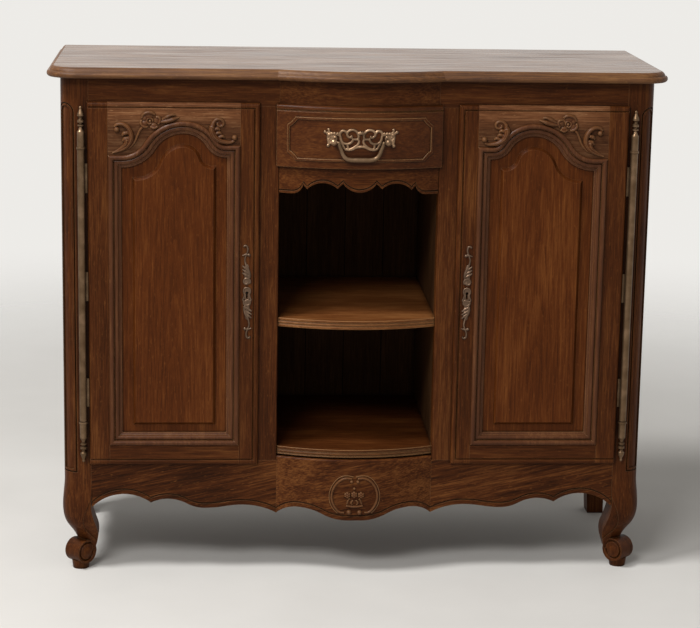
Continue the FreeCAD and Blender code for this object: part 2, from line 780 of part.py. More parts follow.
def front_post():
    stations = [
        (LEG_TOP, 0, 0),
        (THIGH_HEIGHT, -THIGH_SWELL, 0),
        (KNEE_HEIGHT, -KNEE_SWELL, 0),
        (CALF_HEIGHT, CALF_OUTER_INSET, CALF_INNER_REACH),
        (ANKLE_HEIGHT, ANKLE_OUTER_INSET, ANKLE_INNER_REACH),
        (SHIN_HEIGHT, SHIN_OUTER_INSET, SHIN_INNER_REACH),
        (LEG_END_HEIGHT, LEG_END_OUTER_INSET, LEG_END_INNER_REACH),
    ]
    sections = [wire(post_section(outer, inner), height) for height, outer, inner in stations]
    leg = Part.makeLoft(sections, True, False).cut(rail_room() + [leg_band(stations)])
    post = slab(post_section(0, 0), LEG_TOP, CARCASS_TOP)
    floor_of_panel = POST_ROUND - CORNER_PANEL_DEPTH
    post = post.cut(corner_panel(0, floor_of_panel, POST_ROUND + CORNER_PANEL_DEPTH))
    bead_top = floor_of_panel + CORNER_BEAD_HEIGHT
    bead = corner_panel(CORNER_BEAD_MARGIN, floor_of_panel, bead_top)
    bead = bead.cut(corner_panel(CORNER_BEAD_MARGIN + CORNER_BEAD_WIDTH, 0, POST_ROUND))
    centre_x = -SIDE + POST_WIDTH / 2 + SCROLL_INSET
    centre_y = FRONT + POST_DEPTH / 2 + SCROLL_INSET
    foot = scroll()
    foot.rotate(Vector(0, 0, 0), Vector(1, 0, 0), 90)
    foot.rotate(Vector(0, 0, 0), Vector(0, 0, 1), 45)
    foot.translate(Vector(centre_x, centre_y, SCROLL_HEIGHT))
    pad_place = Vector(centre_x, centre_y, 0)
    pad = Part.makeCone(FOOT_PAD_RADIUS, FOOT_PAD_TOP_RADIUS, FOOT_PAD_HEIGHT, pad_place)
    return post.fuse([bead, leg, foot, pad])


def back_post():
    taper = BACK_POST_INNER + BACK_POST_TAPER
    path = polygon([
        (-SIDE, 0),
        (-taper, 0),
        (-BACK_POST_INNER, BACK_POST_TAPER_HEIGHT),
        (-BACK_POST_INNER, CARCASS_TOP),
        (-SIDE, CARCASS_TOP),
    ])
    return stand(slab(path, -BACK, -BACK_POST_FRONT), 0)


# Front frame

def tenon(x, z):
    """A tenon in the thickness of the front frame."""
    middle = (FRONT + FRAME_BACK) / 2
    return box(x, (middle - TENON_THICKNESS / 2, middle + TENON_THICKNESS / 2), z)


def frieze_rail():
    rail = box((-POST_INNER, -BAY), (FRONT, FRAME_BACK), (OPENING_TOP, CARCASS_TOP))
    height = (OPENING_TOP + TENON_SHOULDER, CARCASS_TOP - TENON_SHOULDER)
    peg = tenon((-POST_INNER - TENON_LENGTH, -POST_INNER), height)
    return joined([rail, peg]), peg


def centre_frieze_rail():
    path = polygon([(-BAY, OPENING_TOP), (BAY, OPENING_TOP), (BAY, CARCASS_TOP), (-BAY, CARCASS_TOP)])
    return bowed(path, BOW_RADIUS - FRAME_THICKNESS, BOW_RADIUS)


def inner_stile():
    stile = box((-STILE_OUTER, -BAY), (FRONT, FRAME_BACK), (CUPBOARD_FLOOR_TOP, OPENING_TOP))
    front_edges = [
        e for e in stile.Edges
        if abs(e.BoundBox.YMax - FRONT) < FIT and e.BoundBox.ZLength > STILE_WIDTH
    ]
    stile = stile.makeFillet(STILE_ROUND, front_edges)
    return stile.cut(bolt_room())


def left_apron_edge():
    """The lower edge of the left apron, from the post to the seam."""
    leg = (-POST_INNER, APRON_AT_LEG)
    first = (-POST_INNER + APRON_FIRST_CREST[0], APRON_FIRST_CREST[1])
    cusp = (-POST_INNER + APRON_CUSP[0], APRON_CUSP[1])
    second = (-POST_INNER + APRON_SECOND_CREST[0], APRON_SECOND_CREST[1])
    third = (-BAY - APRON_THIRD_CREST[0], APRON_THIRD_CREST[1])
    sag = ((second[0] + third[0]) / 2, APRON_SAG)
    seam = (-BAY, APRON_PENDANT)
    return (
        [arc(leg, first, cusp)]
        + level_arc(cusp, second)
        + ogee(second, sag)
        + ogee(sag, third)
        + reverse(level_arc(seam, third))
    )


def centre_apron_edge():
    """The lower edge of the centre apron, from left to right."""
    seam = (-BAY, APRON_PENDANT)
    crest = (-BAY + CENTRE_APRON_CREST[0], CENTRE_APRON_CREST[1])
    drop = (-CENTRE_APRON_DROP[0], CENTRE_APRON_DROP[1])
    half = level_arc(seam, crest) + ogee(crest, drop)
    return half + [line(drop, (-drop[0], drop[1]))] + flipped(half)


def closed_above(lower, top):
    start = lower[0][1]
    end = lower[-1][-1]
    return lower + polyline([end, (end[0], top), (start[0], top), start])


def incised_line(lower, height):
    """The band of a groove that runs at a height above a lower edge."""
    foot = moved(lower, 0, height)
    head = moved(lower, 0, height + APRON_LINE_WIDTH)
    return foot + [line(foot[-1][-1], head[-1][-1])] + reverse(head) + [line(head[0][1], foot[0][1])]


def left_apron():
    lower = left_apron_edge()
    board = stand(slab(closed_above(lower, CUPBOARD_FLOOR_TOP), 0, FRAME_THICKNESS), FRAME_BACK)
    deep = FRAME_THICKNESS - APRON_LINE_DEPTH
    groove = slab(incised_line(lower, APRON_LINE_HEIGHT), deep, FRAME_THICKNESS + CUT_PAST)
    board = board.cut(stand(groove, FRAME_BACK))
    height = (APRON_FIRST_CREST[1] + TENON_SHOULDER, CUPBOARD_FLOOR_TOP - TENON_SHOULDER)
    peg = tenon((-POST_INNER - TENON_LENGTH, -POST_INNER), height)
    return joined([board, peg]), peg


def centre_apron():
    lower = centre_apron_edge()
    top = NICHE_FLOOR_TOP - NICHE_FLOOR_THICKNESS
    board = bowed(closed_above(lower, top), BOW_RADIUS - FRAME_THICKNESS, BOW_RADIUS)
    deep = BOW_RADIUS - APRON_LINE_DEPTH
    groove = bowed(incised_line(lower, APRON_LINE_HEIGHT), deep, BOW_RADIUS + CUT_PAST)
    return board.cut([groove, rim_waste(BOW_RADIUS, top, APRON_RIM_ROUND)])


def valance():
    top = DRAWER_OPENING_BOTTOM

    def point(place):
        return (-place[0], top - place[1])

    end = (-BAY, top - VALANCE_END_DEPTH)
    step = point(VALANCE_STEP)
    step_top = point(VALANCE_STEP_TOP)
    outer = point(VALANCE_OUTER_CUSP)
    crest = point(VALANCE_ARCH_CREST)
    inner = point(VALANCE_INNER_CUSP)
    lobe = point(VALANCE_LOBE_TOP)
    middle = (0, top - VALANCE_LOBE_DEPTH)
    half = (
        [line(end, step)]
        + reverse(level_arc(step_top, step))
        + [line(step_top, outer), arc(outer, crest, inner), line(inner, lobe)]
        + level_arc(lobe, middle)
    )
    lower = half + flipped(half)
    board = bowed(closed_above(lower, top), BOW_RADIUS - VALANCE_THICKNESS, BOW_RADIUS)
    deep = BOW_RADIUS - APRON_LINE_DEPTH
    return board.cut(bowed(incised_line(lower, VALANCE_LINE_HEIGHT), deep, BOW_RADIUS + CUT_PAST))


# Sides and back

def side_frame_span():
    """Where the side lies between the posts, on the axis that runs to the front."""
    return -BACK_POST_FRONT, -POST_BACK


def side_rails():
    back, front = side_frame_span()
    middle = (back + front) / 2
    top = polygon([
        (back, CARCASS_TOP - SIDE_TOP_RAIL_HEIGHT),
        (front, CARCASS_TOP - SIDE_TOP_RAIL_HEIGHT),
        (front, CARCASS_TOP),
        (back, CARCASS_TOP),
    ])
    crest_back = ((back + middle) / 2, SIDE_APRON_CREST)
    crest_front = ((front + middle) / 2, SIDE_APRON_CREST)
    cusp = (middle, SIDE_APRON_CUSP)
    lower = [
        arc((back, SIDE_APRON_END), crest_back, cusp),
        arc(cusp, crest_front, (front, SIDE_APRON_END)),
    ]
    bottom = closed_above(lower, SIDE_BOTTOM_RAIL_TOP)
    return [face_left(slab(path, 0, SIDE_THICKNESS), -SIDE_INNER) for path in (top, bottom)]


def rectangle(x, y, margin):
    return polygon([
        (x[0] + margin, y[0] + margin),
        (x[1] - margin, y[0] + margin),
        (x[1] - margin, y[1] - margin),
        (x[0] + margin, y[1] - margin),
    ])


def side_panel():
    span = side_frame_span()
    height = (SIDE_BOTTOM_RAIL_TOP, CARCASS_TOP - SIDE_TOP_RAIL_HEIGHT)
    plate = slab(rectangle(span, height, -PANEL_GROOVE), 0, SIDE_PANEL_THICKNESS)
    foot = wire(rectangle(span, height, SIDE_FIELD_MARGIN - SIDE_FIELD_RISE), SIDE_PANEL_THICKNESS)
    head = wire(rectangle(span, height, SIDE_FIELD_MARGIN), SIDE_PANEL_THICKNESS + SIDE_FIELD_RISE)
    field = Part.makeLoft([foot, head], True, True)
    return face_left(plate.fuse(field), -SIDE + SIDE_PANEL_INSET + SIDE_PANEL_THICKNESS)


def back_rails():
    x = (-BACK_POST_INNER, BACK_POST_INNER)
    y = (BACK_PANEL_FACE - BACK_RAIL_THICKNESS, BACK_PANEL_FACE)
    low_top = CUPBOARD_FLOOR_TOP - CUPBOARD_FLOOR_THICKNESS
    return [
        box(x, y, (CARCASS_TOP - BACK_RAIL_HEIGHT, CARCASS_TOP)),
        box(x, y, (low_top - BACK_RAIL_HEIGHT, low_top)),
    ]


def back_panels():
    low = CUPBOARD_FLOOR_TOP - CUPBOARD_FLOOR_THICKNESS - BACK_RAIL_HEIGHT
    y = (BACK_PANEL_FACE, BACK_PANEL_FACE + BACK_PANEL_THICKNESS)
    z = (low, CARCASS_TOP)
    split = BAY + BOARD_THICKNESS / 2
    outer = BACK_POST_INNER + BACK_REBATE
    return [box(x, y, z) for x in ((-outer, -split), (-split, split), (split, outer))]


# Inside boards

def niche_board(top, thickness):
    """A board of the niche: housed in the partitions, bowed and reeded in front."""
    z = (top - thickness, top)
    wide = box((-BAY - HOUSING_DEPTH, BAY + HOUSING_DEPTH), (FRAME_BACK, BACK_PANEL_FACE), z)
    front_radius = BOW_RADIUS - NICHE_EDGE_SETBACK
    nose = box((-BAY + FIT, BAY - FIT), (FRONT - BOW_REACH, FRAME_BACK), z)
    nose = nose.common(bow_cylinder(front_radius))
    board = joined([wide, nose])
    for reed in range(1, REED_COUNT):
        height = z[0] + thickness * reed / REED_COUNT
        board = board.cut(bow_vee(front_radius, height, REED_GROOVE, REED_GROOVE))
    return board


def niche_floor():
    """The floor of the niche, undercut in front so that a shadow parts it from the apron below."""
    board = niche_board(NICHE_FLOOR_TOP, NICHE_FLOOR_THICKNESS)
    low = NICHE_FLOOR_TOP - NICHE_FLOOR_THICKNESS
    inner = BOW_RADIUS - FLOOR_UNDERCUT[0]
    outer = BOW_RADIUS + CUT_PAST
    high = low + FLOOR_UNDERCUT[1]
    ring = polygon([(inner, low - CUT_PAST), (outer, low - CUT_PAST), (outer, high), (inner, high)])
    return board.cut(revolved(ring, 0, BOW_CENTRE))


def niche_ceiling():
    top = DRAWER_OPENING_BOTTOM - RUNNER_WIDTH
    z = (top - NICHE_CEILING_THICKNESS, top)
    board = box((-BAY, BAY), (FRONT - BOW_RISE, BACK_PANEL_FACE), z)
    return board.common(bow_cylinder(BOW_RADIUS - VALANCE_THICKNESS))


def partition():
    x = (-PARTITION_OUTER, -BAY)
    low = CUPBOARD_FLOOR_TOP - CUPBOARD_FLOOR_THICKNESS
    board = box(x, (FRAME_BACK, BACK_PANEL_FACE), (low, CARCASS_TOP))
    housed = [
        niche_board(NICHE_SHELF_TOP, NICHE_SHELF_THICKNESS),
        niche_board(NICHE_FLOOR_TOP, NICHE_FLOOR_THICKNESS),
    ]
    return board.cut(back_rails() + housed)


def cupboard_floor(posts):
    z = (CUPBOARD_FLOOR_TOP - CUPBOARD_FLOOR_THICKNESS, CUPBOARD_FLOOR_TOP)
    board = box((-SIDE_INNER, -PARTITION_OUTER), (FRAME_BACK, BACK_PANEL_FACE), z)
    return board.cut(posts)


def cupboard_shelf(posts):
    x = (-SIDE_INNER + SHELF_END_GAP, -PARTITION_OUTER - SHELF_END_GAP)
    y = (FRAME_BACK + SHELF_SETBACK, BACK_PANEL_FACE - SHELF_END_GAP)
    board = box(x, y, (CUPBOARD_SHELF_TOP - BOARD_THICKNESS, CUPBOARD_SHELF_TOP))
    gap = SHELF_END_GAP
    rooms = []
    for post in posts:
        bounds = post.BoundBox
        rooms.append(box(
            (bounds.XMin - gap, bounds.XMax + gap),
            (bounds.YMin - gap, bounds.YMax + gap),
            (CUPBOARD_SHELF_TOP - 2 * BOARD_THICKNESS, CUPBOARD_SHELF_TOP + gap),
        ))
    return board.cut(rooms)


def shelf_cleats():
    """One cleat on the partition and one between the posts on the side, for the left shelf."""
    top = CUPBOARD_SHELF_TOP - BOARD_THICKNESS
    z = (top - CLEAT_SIZE, top)
    panel_inside = -SIDE + SIDE_PANEL_INSET + SIDE_PANEL_THICKNESS
    return [
        box((-PARTITION_OUTER - CLEAT_SIZE, -PARTITION_OUTER),
            (FRAME_BACK + CLEAT_SETBACK, BACK_PANEL_FACE - CLEAT_SETBACK), z),
        box((panel_inside, -SIDE_INNER + CLEAT_SIZE), (POST_BACK, BACK_POST_FRONT), z),
    ]


def drawer_runner():
    top = DRAWER_OPENING_BOTTOM
    y = (FRAME_BACK, BACK_PANEL_FACE)
    return box((-BAY, -BAY + RUNNER_WIDTH), y, (top - RUNNER_WIDTH, top))


# Doors

def panel_arch(offset):
    """The outline inside the left door's frame, and lines parallel to it."""
    return arch_path(
        (PANEL_HINGE, PANEL_LOCK),
        DOOR_BOTTOM + BOTTOM_RAIL_HEIGHT,
        (DOOR_TOP - ARCH_HINGE_SHOULDER_DROP, DOOR_TOP - ARCH_LOCK_SHOULDER_DROP),
        (PANEL_LOCK - ARCH_PEAK_FROM_LOCK, DOOR_TOP - ARCH_PEAK_DROP),
        (MOULDING_WIDTH + ARCH_HINGE_FLAT, MOULDING_WIDTH + ARCH_LOCK_FLAT),
        (ARCH_HINGE_SHARE, ARCH_LOCK_SHARE),
        offset,
    )


def field_arch(offset):
    """The outline of the raised field of the left door's panel."""
    margin = MOULDING_WIDTH + FIELD_SIDE_MARGIN
    hinge_drop = ARCH_HINGE_SHOULDER_DROP + FIELD_HINGE_SHOULDER_DROP
    lock_drop = ARCH_LOCK_SHOULDER_DROP + FIELD_LOCK_SHOULDER_DROP
    return arch_path(
        (PANEL_HINGE + margin, PANEL_LOCK - margin),
        DOOR_BOTTOM + BOTTOM_RAIL_HEIGHT + MOULDING_WIDTH + FIELD_BOTTOM_MARGIN,
        (DOOR_TOP - hinge_drop, DOOR_TOP - lock_drop),
        (PANEL_LOCK - ARCH_PEAK_FROM_LOCK, DOOR_TOP - ARCH_PEAK_DROP - FIELD_PEAK_DROP),
        (FIELD_FLAT, FIELD_FLAT),
        (FIELD_HINGE_SHARE, FIELD_LOCK_SHARE),
        offset,
    )


def door_panel():
    plate = slab(panel_arch(PANEL_GROOVE), 0, PANEL_EDGE)
    foot = wire(field_arch(FIELD_SLOPE), PANEL_EDGE)
    head = wire(field_arch(0), PANEL_EDGE + FIELD_RISE)
    field = Part.makeLoft([foot, head], True, True)
    return stand(plate.fuse(field), PANEL_FRONT + PANEL_EDGE)


def door_moulding():
    """Two beads with a quirk between them that step down from the frame to the panel."""
    brow = PANEL_FRONT - DOOR_FACE
    first = MOULDING_BEAD
    second = 2 * MOULDING_BEAD
    quirk = brow - MOULDING_QUIRK
    fall = quirk - MOULDING_FALL
    toe = MOULDING_TOE
    profile = [
        line((0, 0), (0, brow)),
        arc((0, brow), (first / 2, brow + MOULDING_RISE), (first, brow)),
        line((first, brow), (first, quirk)),
        arc((first, quirk), ((first + second) / 2, brow), (second, fall)),
        arc((second, fall), (second + MOULDING_COVE[0], toe + MOULDING_COVE[1]), (MOULDING_WIDTH, toe)),
        line((MOULDING_WIDTH, toe), (MOULDING_WIDTH, 0)),
        line((MOULDING_WIDTH, 0), (0, 0)),
    ]
    return stand(moulding(panel_arch(0), profile, MOULDING_WIDTH, True), PANEL_FRONT)


def eased(board, is_outer):
    """Rounds the front edges of a door member that lie on the outside of the door."""
    edges = [
        e for e in board.Edges
        if abs(e.BoundBox.YMin - DOOR_FACE) < FIT and abs(e.BoundBox.YMax - DOOR_FACE) < FIT
        and is_outer(e.BoundBox)
    ]
    return board.makeFillet(DOOR_EDGE_ROUND, edges)


def edge_quirk():
    """A vee that parts a bead from the door's face along the top, the lock side and the bottom."""
    x = DOOR_LOCK_EDGE - EDGE_QUIRK_AT
    low = DOOR_BOTTOM + EDGE_QUIRK_AT
    high = DOOR_TOP - EDGE_QUIRK_AT
    start = DOOR_HINGE_EDGE - CUT_PAST
    half = EDGE_QUIRK_HALF_WIDTH
    profile = polygon([(-half, 0), (0, -EDGE_QUIRK_DEPTH), (half, 0), (0, EDGE_QUIRK_DEPTH)])
    path = polyline([(start, high), (x, high), (x, low), (start, low)])
    return stand(moulding(path, profile, half, False), DOOR_FACE)


def door_rails():
    """The arched top rail and the bottom rail, with their tenons."""
    x = (PANEL_HINGE, PANEL_LOCK)
    z_top = (DOOR_TOP - max(ARCH_HINGE_SHOULDER_DROP, ARCH_LOCK_SHOULDER_DROP), DOOR_TOP)
    z_bottom = (DOOR_BOTTOM, DOOR_BOTTOM + BOTTOM_RAIL_HEIGHT)
    core = (DOOR_BOTTOM + DOOR_LIP + DOOR_GAP, DOOR_TOP - DOOR_LIP - DOOR_GAP)
    opening = stand(slab(panel_arch(0), -FAR, FAR), 0)
    lip_room = [
        box(x, (LIP_BACK, DOOR_BACK), (core[1], DOOR_TOP)),
        box(x, (LIP_BACK, DOOR_BACK), (DOOR_BOTTOM, core[0])),
    ]
    top = eased(box(x, (DOOR_FACE, DOOR_BACK), z_top), lambda b: abs(b.ZMin - DOOR_TOP) < FIT)
    bottom = eased(box(x, (DOOR_FACE, DOOR_BACK), z_bottom), lambda b: abs(b.ZMax - DOOR_BOTTOM) < FIT)
    peg_front = PANEL_FRONT + DOOR_TENON_SETBACK
    peg_y = (peg_front, peg_front + DOOR_TENON_THICKNESS)
    peg_top = (z_top[0] + TOP_TENON_FOOT, core[1] - DOOR_TENON_SHOULDER)
    peg_bottom = (core[0] + BOTTOM_TENON_FOOT, z_bottom[1] - DOOR_TENON_SHOULDER)
    pegs = []
    for z in (peg_top, peg_bottom):
        pegs.append(box((x[0] - DOOR_TENON_LENGTH, x[0]), peg_y, z))
        pegs.append(box((x[1], x[1] + DOOR_TENON_LENGTH), peg_y, z))
    quirk = edge_quirk()
    top = joined([top.cut([opening, quirk] + lip_room)] + pegs[:2])
    bottom = joined([bottom.cut([quirk] + lip_room)] + pegs[2:])
    return top, bottom, pegs


def door_stile(edge_x, core_x, inner_x):
    """A full-height stile: a lip in front, the core behind."""
    front = sorted((edge_x, inner_x))
    back = sorted((core_x, inner_x))
    z = (DOOR_BOTTOM, DOOR_TOP)
    lip = eased(
        box(front, (DOOR_FACE, DOOR_BACK), z),
        lambda b: (
            abs(b.XMax - edge_x) + abs(b.XMin - edge_x) < FIT
            or abs(b.ZMin - DOOR_TOP) < FIT
            or abs(b.ZMax - DOOR_BOTTOM) < FIT
        ),
    )
    core_z = (DOOR_BOTTOM + DOOR_LIP + DOOR_GAP, DOOR_TOP - DOOR_LIP - DOOR_GAP)
    y = (LIP_BACK, DOOR_BACK)
    room = box((DOOR_HINGE_EDGE, DOOR_LOCK_EDGE), y, z)
    return lip.cut([room.cut(box(back, y, core_z)), edge_quirk()])


# Hinges

def barrel():
    """The long tube on the left door, with the leaves let into the door's edge."""
    bore = HINGE_PIN_RADIUS + HINGE_PIN_CLEARANCE
    low = BARREL_BOTTOM + HINGE_END_GAP
    high = BARREL_TOP - HINGE_END_GAP
    shoulder = HINGE_RADIUS - BARREL_END_CHAMFER
    path = polygon([
        (bore, low), (shoulder, low), (HINGE_RADIUS, low + BARREL_END_CHAMFER),
        (HINGE_RADIUS, high - BARREL_END_CHAMFER), (shoulder, high), (bore, high),
    ])
    tube = revolved(path, HINGE_X, HINGE_Y)
    x = (HINGE_X, DOOR_HINGE_EDGE + HINGE_LEAF_REACH)
    leaf_middle = HINGE_Y + (bore + HINGE_RADIUS) / 2
    y = (leaf_middle - HINGE_LEAF / 2, leaf_middle + HINGE_LEAF / 2)
    middle = (low + high) / 2
    spread = (high - low) / 2 - HINGE_LEAF_LENGTH
    leaves = []
    for offset in (-spread, 0, spread):
        z = (middle + offset - HINGE_LEAF_LENGTH / 2, middle + offset + HINGE_LEAF_LENGTH / 2)
        leaves.append(box(x, y, z))
    return tube.fuse(leaves), leaves


def upper_knuckle():
    """The collar, knuckle and turned finial above the left barrel, with its leaf in the post."""
    bore = HINGE_PIN_RADIUS + HINGE_PIN_CLEARANCE
    z = BARREL_TOP
    top = z + KNUCKLE_HEIGHT
    collar = z + HINGE_COLLAR_HEIGHT
    blind = top - KNUCKLE_CAP
    knuckle = [
        (0, blind),
        (bore, blind),
        (bore, z),
        (HINGE_COLLAR_RADIUS, z),
        (HINGE_COLLAR_RADIUS, collar),
        (HINGE_RADIUS, collar + HINGE_COLLAR_CHAMFER),
        (HINGE_RADIUS, top),
    ]
    finial = FINIAL_CONE + FINIAL_LOWER_RING + FINIAL_UPPER_RING + FINIAL_URN
    path = polygon(knuckle + [(radius, top + height) for radius, height in finial])
    turned = revolved(path, HINGE_X, HINGE_Y)
    leaf = box(
        (HINGE_X - HINGE_LEAF / 2, HINGE_X + HINGE_LEAF / 2),
        (HINGE_Y + (bore + HINGE_RADIUS) / 2, FRONT + HINGE_LEAF_REACH),
        (z + KNUCKLE_LEAF_MARGIN, top - KNUCKLE_LEAF_MARGIN),
    )
    return turned.fuse(leaf), leaf


def hinge_pin():
    reach = KNUCKLE_HEIGHT - KNUCKLE_CAP - HINGE_PIN_END_GAP
    length = BARREL_TOP - BARREL_BOTTOM + 2 * reach
    return Part.makeCylinder(HINGE_PIN_RADIUS, length, Vector(HINGE_X, HINGE_Y, BARREL_BOTTOM - reach))


def lower_twin(shape):
    """The same hinge piece turned over, below the barrel."""
    return shape.mirror(Vector(0, 0, (BARREL_TOP + BARREL_BOTTOM) / 2), Vector(0, 0, 1))


# Locks and escutcheons

def bolt_span(grow):
    """The left bolt at rest, drawn back into its case, grown by a clearance."""
    front = DOOR_LOCK_CORE - LOCK_CASE_EDGE
    middle = DOOR_BACK + LOCK_CASE_THICKNESS / 2
    return (
        (front - BOLT_LENGTH - grow, front),
        (middle - BOLT_THICKNESS / 2 - grow, middle + BOLT_THICKNESS / 2 + grow),
        (LOCK_HEIGHT - BOLT_HEIGHT / 2 - grow, LOCK_HEIGHT + BOLT_HEIGHT / 2 + grow),
    )


def lock_bolt():
    return box(*bolt_span(0))


def bolt_room():
    """The mortise in the left inner stile that the thrown bolt enters."""
    x, y, z = bolt_span(MORTISE_CLEARANCE)
    return box((-STILE_OUTER - CUT_PAST, x[1] + BOLT_THROW + MORTISE_CLEARANCE), y, z)


def lock_case():
    front = DOOR_LOCK_CORE - LOCK_CASE_EDGE
    z = (LOCK_HEIGHT - LOCK_CASE_HEIGHT / 2, LOCK_HEIGHT + LOCK_CASE_HEIGHT / 2)
    case = box((front - LOCK_CASE_WIDTH, front), (DOOR_BACK, DOOR_BACK + LOCK_CASE_THICKNESS), z)
    return case.cut(box(*bolt_span(BOLT_CLEARANCE)))


def pierced(solids, holes, thickness):
    """A flat plate drawn as the union of some outlines less some others."""
    plate = joined([slab(path, 0, thickness) for path in solids])
    return plate.cut([slab(path, -CUT_PAST, thickness + CUT_PAST) for path in holes])


def keyhole():
    slot_x = (-KEYHOLE_SLOT[0], KEYHOLE_SLOT[0])
    return [circle_path((0, 0), KEYHOLE_RADIUS), rectangle(slot_x, (-KEYHOLE_SLOT[1], 0), 0)]


def escutcheon():
    """A long plate of leaf and curls round a keyhole."""
    solids = [lens_path((0, 0), *ESCUTCHEON_BODY_HALF)]
    holes = keyhole()
    tip = ESCUTCHEON_HALF_HEIGHT - ESCUTCHEON_CURL[0]
    for end in (-1, 1):
        solids.append(lens_path((0, end * (tip - ESCUTCHEON_STEM_HALF[1])), *ESCUTCHEON_STEM_HALF))
        curls = [((0, end * tip), ESCUTCHEON_CURL)]
        for side in (-1, 1):
            place = (side * ESCUTCHEON_SIDE_CURL_AT[0], end * ESCUTCHEON_SIDE_CURL_AT[1])
            curls.append((place, ESCUTCHEON_SIDE_CURL))
        for place, (outer, inner) in curls:
            solids.append(circle_path(place, outer))
            holes.append(circle_path(place, inner))
    plate = pierced(solids, holes, ESCUTCHEON_THICKNESS)
    plate.translate(Vector(LOCK_X, LOCK_HEIGHT, 0))
    return stand(plate, DOOR_FACE)


def keyway():
    """The hole through the lock stile behind the escutcheon."""
    hole = joined([slab(path, -CUT_PAST, DOOR_THICKNESS + CUT_PAST) for path in keyhole()])
    hole.translate(Vector(LOCK_X, LOCK_HEIGHT, 0))
    return stand(hole, DOOR_BACK)


# Drawer

def drawer_box_bottom():
    return DRAWER_OPENING_BOTTOM + DRAWER_LIFT


def drawer_bottom():
    inner = BAY - DRAWER_SIDE_GAP - DRAWER_SIDE_THICKNESS
    low = drawer_box_bottom() + DRAWER_BOTTOM_RISE
    y = (FRONT - BOW_REACH, BACK_PANEL_FACE - DRAWER_BACK_ROOM)
    x = (-inner - DRAWER_GROOVE, inner + DRAWER_GROOVE)
    board = box(x, y, (low, low + DRAWER_BOTTOM_THICKNESS))
    return board.common(bow_cylinder(DRAWER_BACK_RADIUS + DRAWER_GROOVE))


def drawer_bead():
    """The raised bead on the drawer front, with hollow corners."""
    low = DRAWER_OPENING_BOTTOM - DRAWER_LIP
    high = OPENING_TOP + DRAWER_LIP

    def outline(shrink):
        x = BAY + DRAWER_LIP - DRAWER_BEAD_SIDE_MARGIN - shrink
        foot = low + DRAWER_BEAD_BOTTOM_MARGIN + shrink
        head = high - DRAWER_BEAD_TOP_MARGIN - shrink
        notch = DRAWER_BEAD_CORNER
        hollow = DRAWER_BEAD_HOLLOW
        return [
            line((-x + notch, foot), (x - notch, foot)),
            arc((x - notch, foot), (x - hollow, foot + hollow), (x, foot + notch)),
            line((x, foot + notch), (x, head - notch)),
            arc((x, head - notch), (x - hollow, head - hollow), (x - notch, head)),
            line((x - notch, head), (-x + notch, head)),
            arc((-x + notch, head), (-x + hollow, head - hollow), (-x, head - notch)),
            line((-x, head - notch), (-x, foot + notch)),
            arc((-x, foot + notch), (-x + hollow, foot + hollow), (-x + notch, foot)),
        ]

    radii = (DRAWER_FACE_RADIUS - FIT, DRAWER_FACE_RADIUS + DRAWER_BEAD_RISE)
    return bowed(outline(0), *radii).cut(bowed(outline(DRAWER_BEAD_WIDTH), BOW_RADIUS, FAR))


def drawer_front():
    lip_x = BAY + DRAWER_LIP
    lip_z = (DRAWER_OPENING_BOTTOM - DRAWER_LIP, OPENING_TOP + DRAWER_LIP)
    core_x = BAY - DRAWER_GAP
    core_z = (DRAWER_OPENING_BOTTOM + DRAWER_GAP, OPENING_TOP - DRAWER_GAP)
    seat = BOW_RADIUS + LIP_SEAT_GAP
    lip = bowed(rectangle((-lip_x, lip_x), lip_z, 0), seat, DRAWER_FACE_RADIUS)
    core = bowed(rectangle((-core_x, core_x), core_z, 0), DRAWER_BACK_RADIUS, seat + FIT)
    ends = [box(x, (LIP_BACK, 0), lip_z) for x in ((-lip_x, -BAY), (BAY, lip_x))]
    moulded = [
        rim_waste(DRAWER_FACE_RADIUS, lip_z[1], DOOR_EDGE_ROUND),
        bow_vee(DRAWER_FACE_RADIUS, lip_z[1] - EDGE_QUIRK_AT, EDGE_QUIRK_HALF_WIDTH, EDGE_QUIRK_DEPTH),
    ]
    front = joined([lip.cut(ends), core]).cut(moulded).fuse(drawer_bead())
    holes = [pull_shank(side, PULL_POST_SHANK + FIT) for side in (-1, 1)]
    return front.cut([drawer_bottom()] + holes)


def drawer_side():
    outer = BAY - DRAWER_SIDE_GAP
    low = drawer_box_bottom()
    y = (FRONT - BOW_REACH, BACK_PANEL_FACE - DRAWER_BACK_ROOM)
    board = box((-outer, -outer + DRAWER_SIDE_THICKNESS), y, (low, low + DRAWER_SIDE_HEIGHT))
    return board.common(bow_cylinder(DRAWER_BACK_RADIUS)).cut(drawer_bottom())


def drawer_back():
    inner = BAY - DRAWER_SIDE_GAP - DRAWER_SIDE_THICKNESS
    end = BACK_PANEL_FACE - DRAWER_BACK_ROOM
    low = drawer_box_bottom() + DRAWER_BOTTOM_RISE + DRAWER_BOTTOM_THICKNESS
    high = drawer_box_bottom() + DRAWER_SIDE_HEIGHT
    return box((-inner, inner), (end - DRAWER_SIDE_THICKNESS, end), (low, high))


# Drawer pull

def pull_shank(side, radius):
    """The post's shank, from its head through the drawer front."""
    end = BOW_CENTRE - math.sqrt(DRAWER_BACK_RADIUS ** 2 - PULL_POST_SPREAD ** 2) + PULL_NUT_HEIGHT
    start = Vector(side * PULL_POST_SPREAD, PULL_Y, PULL_HEIGHT)
    return Part.makeCylinder(radius, end - PULL_Y, start, Vector(0, 1, 0))


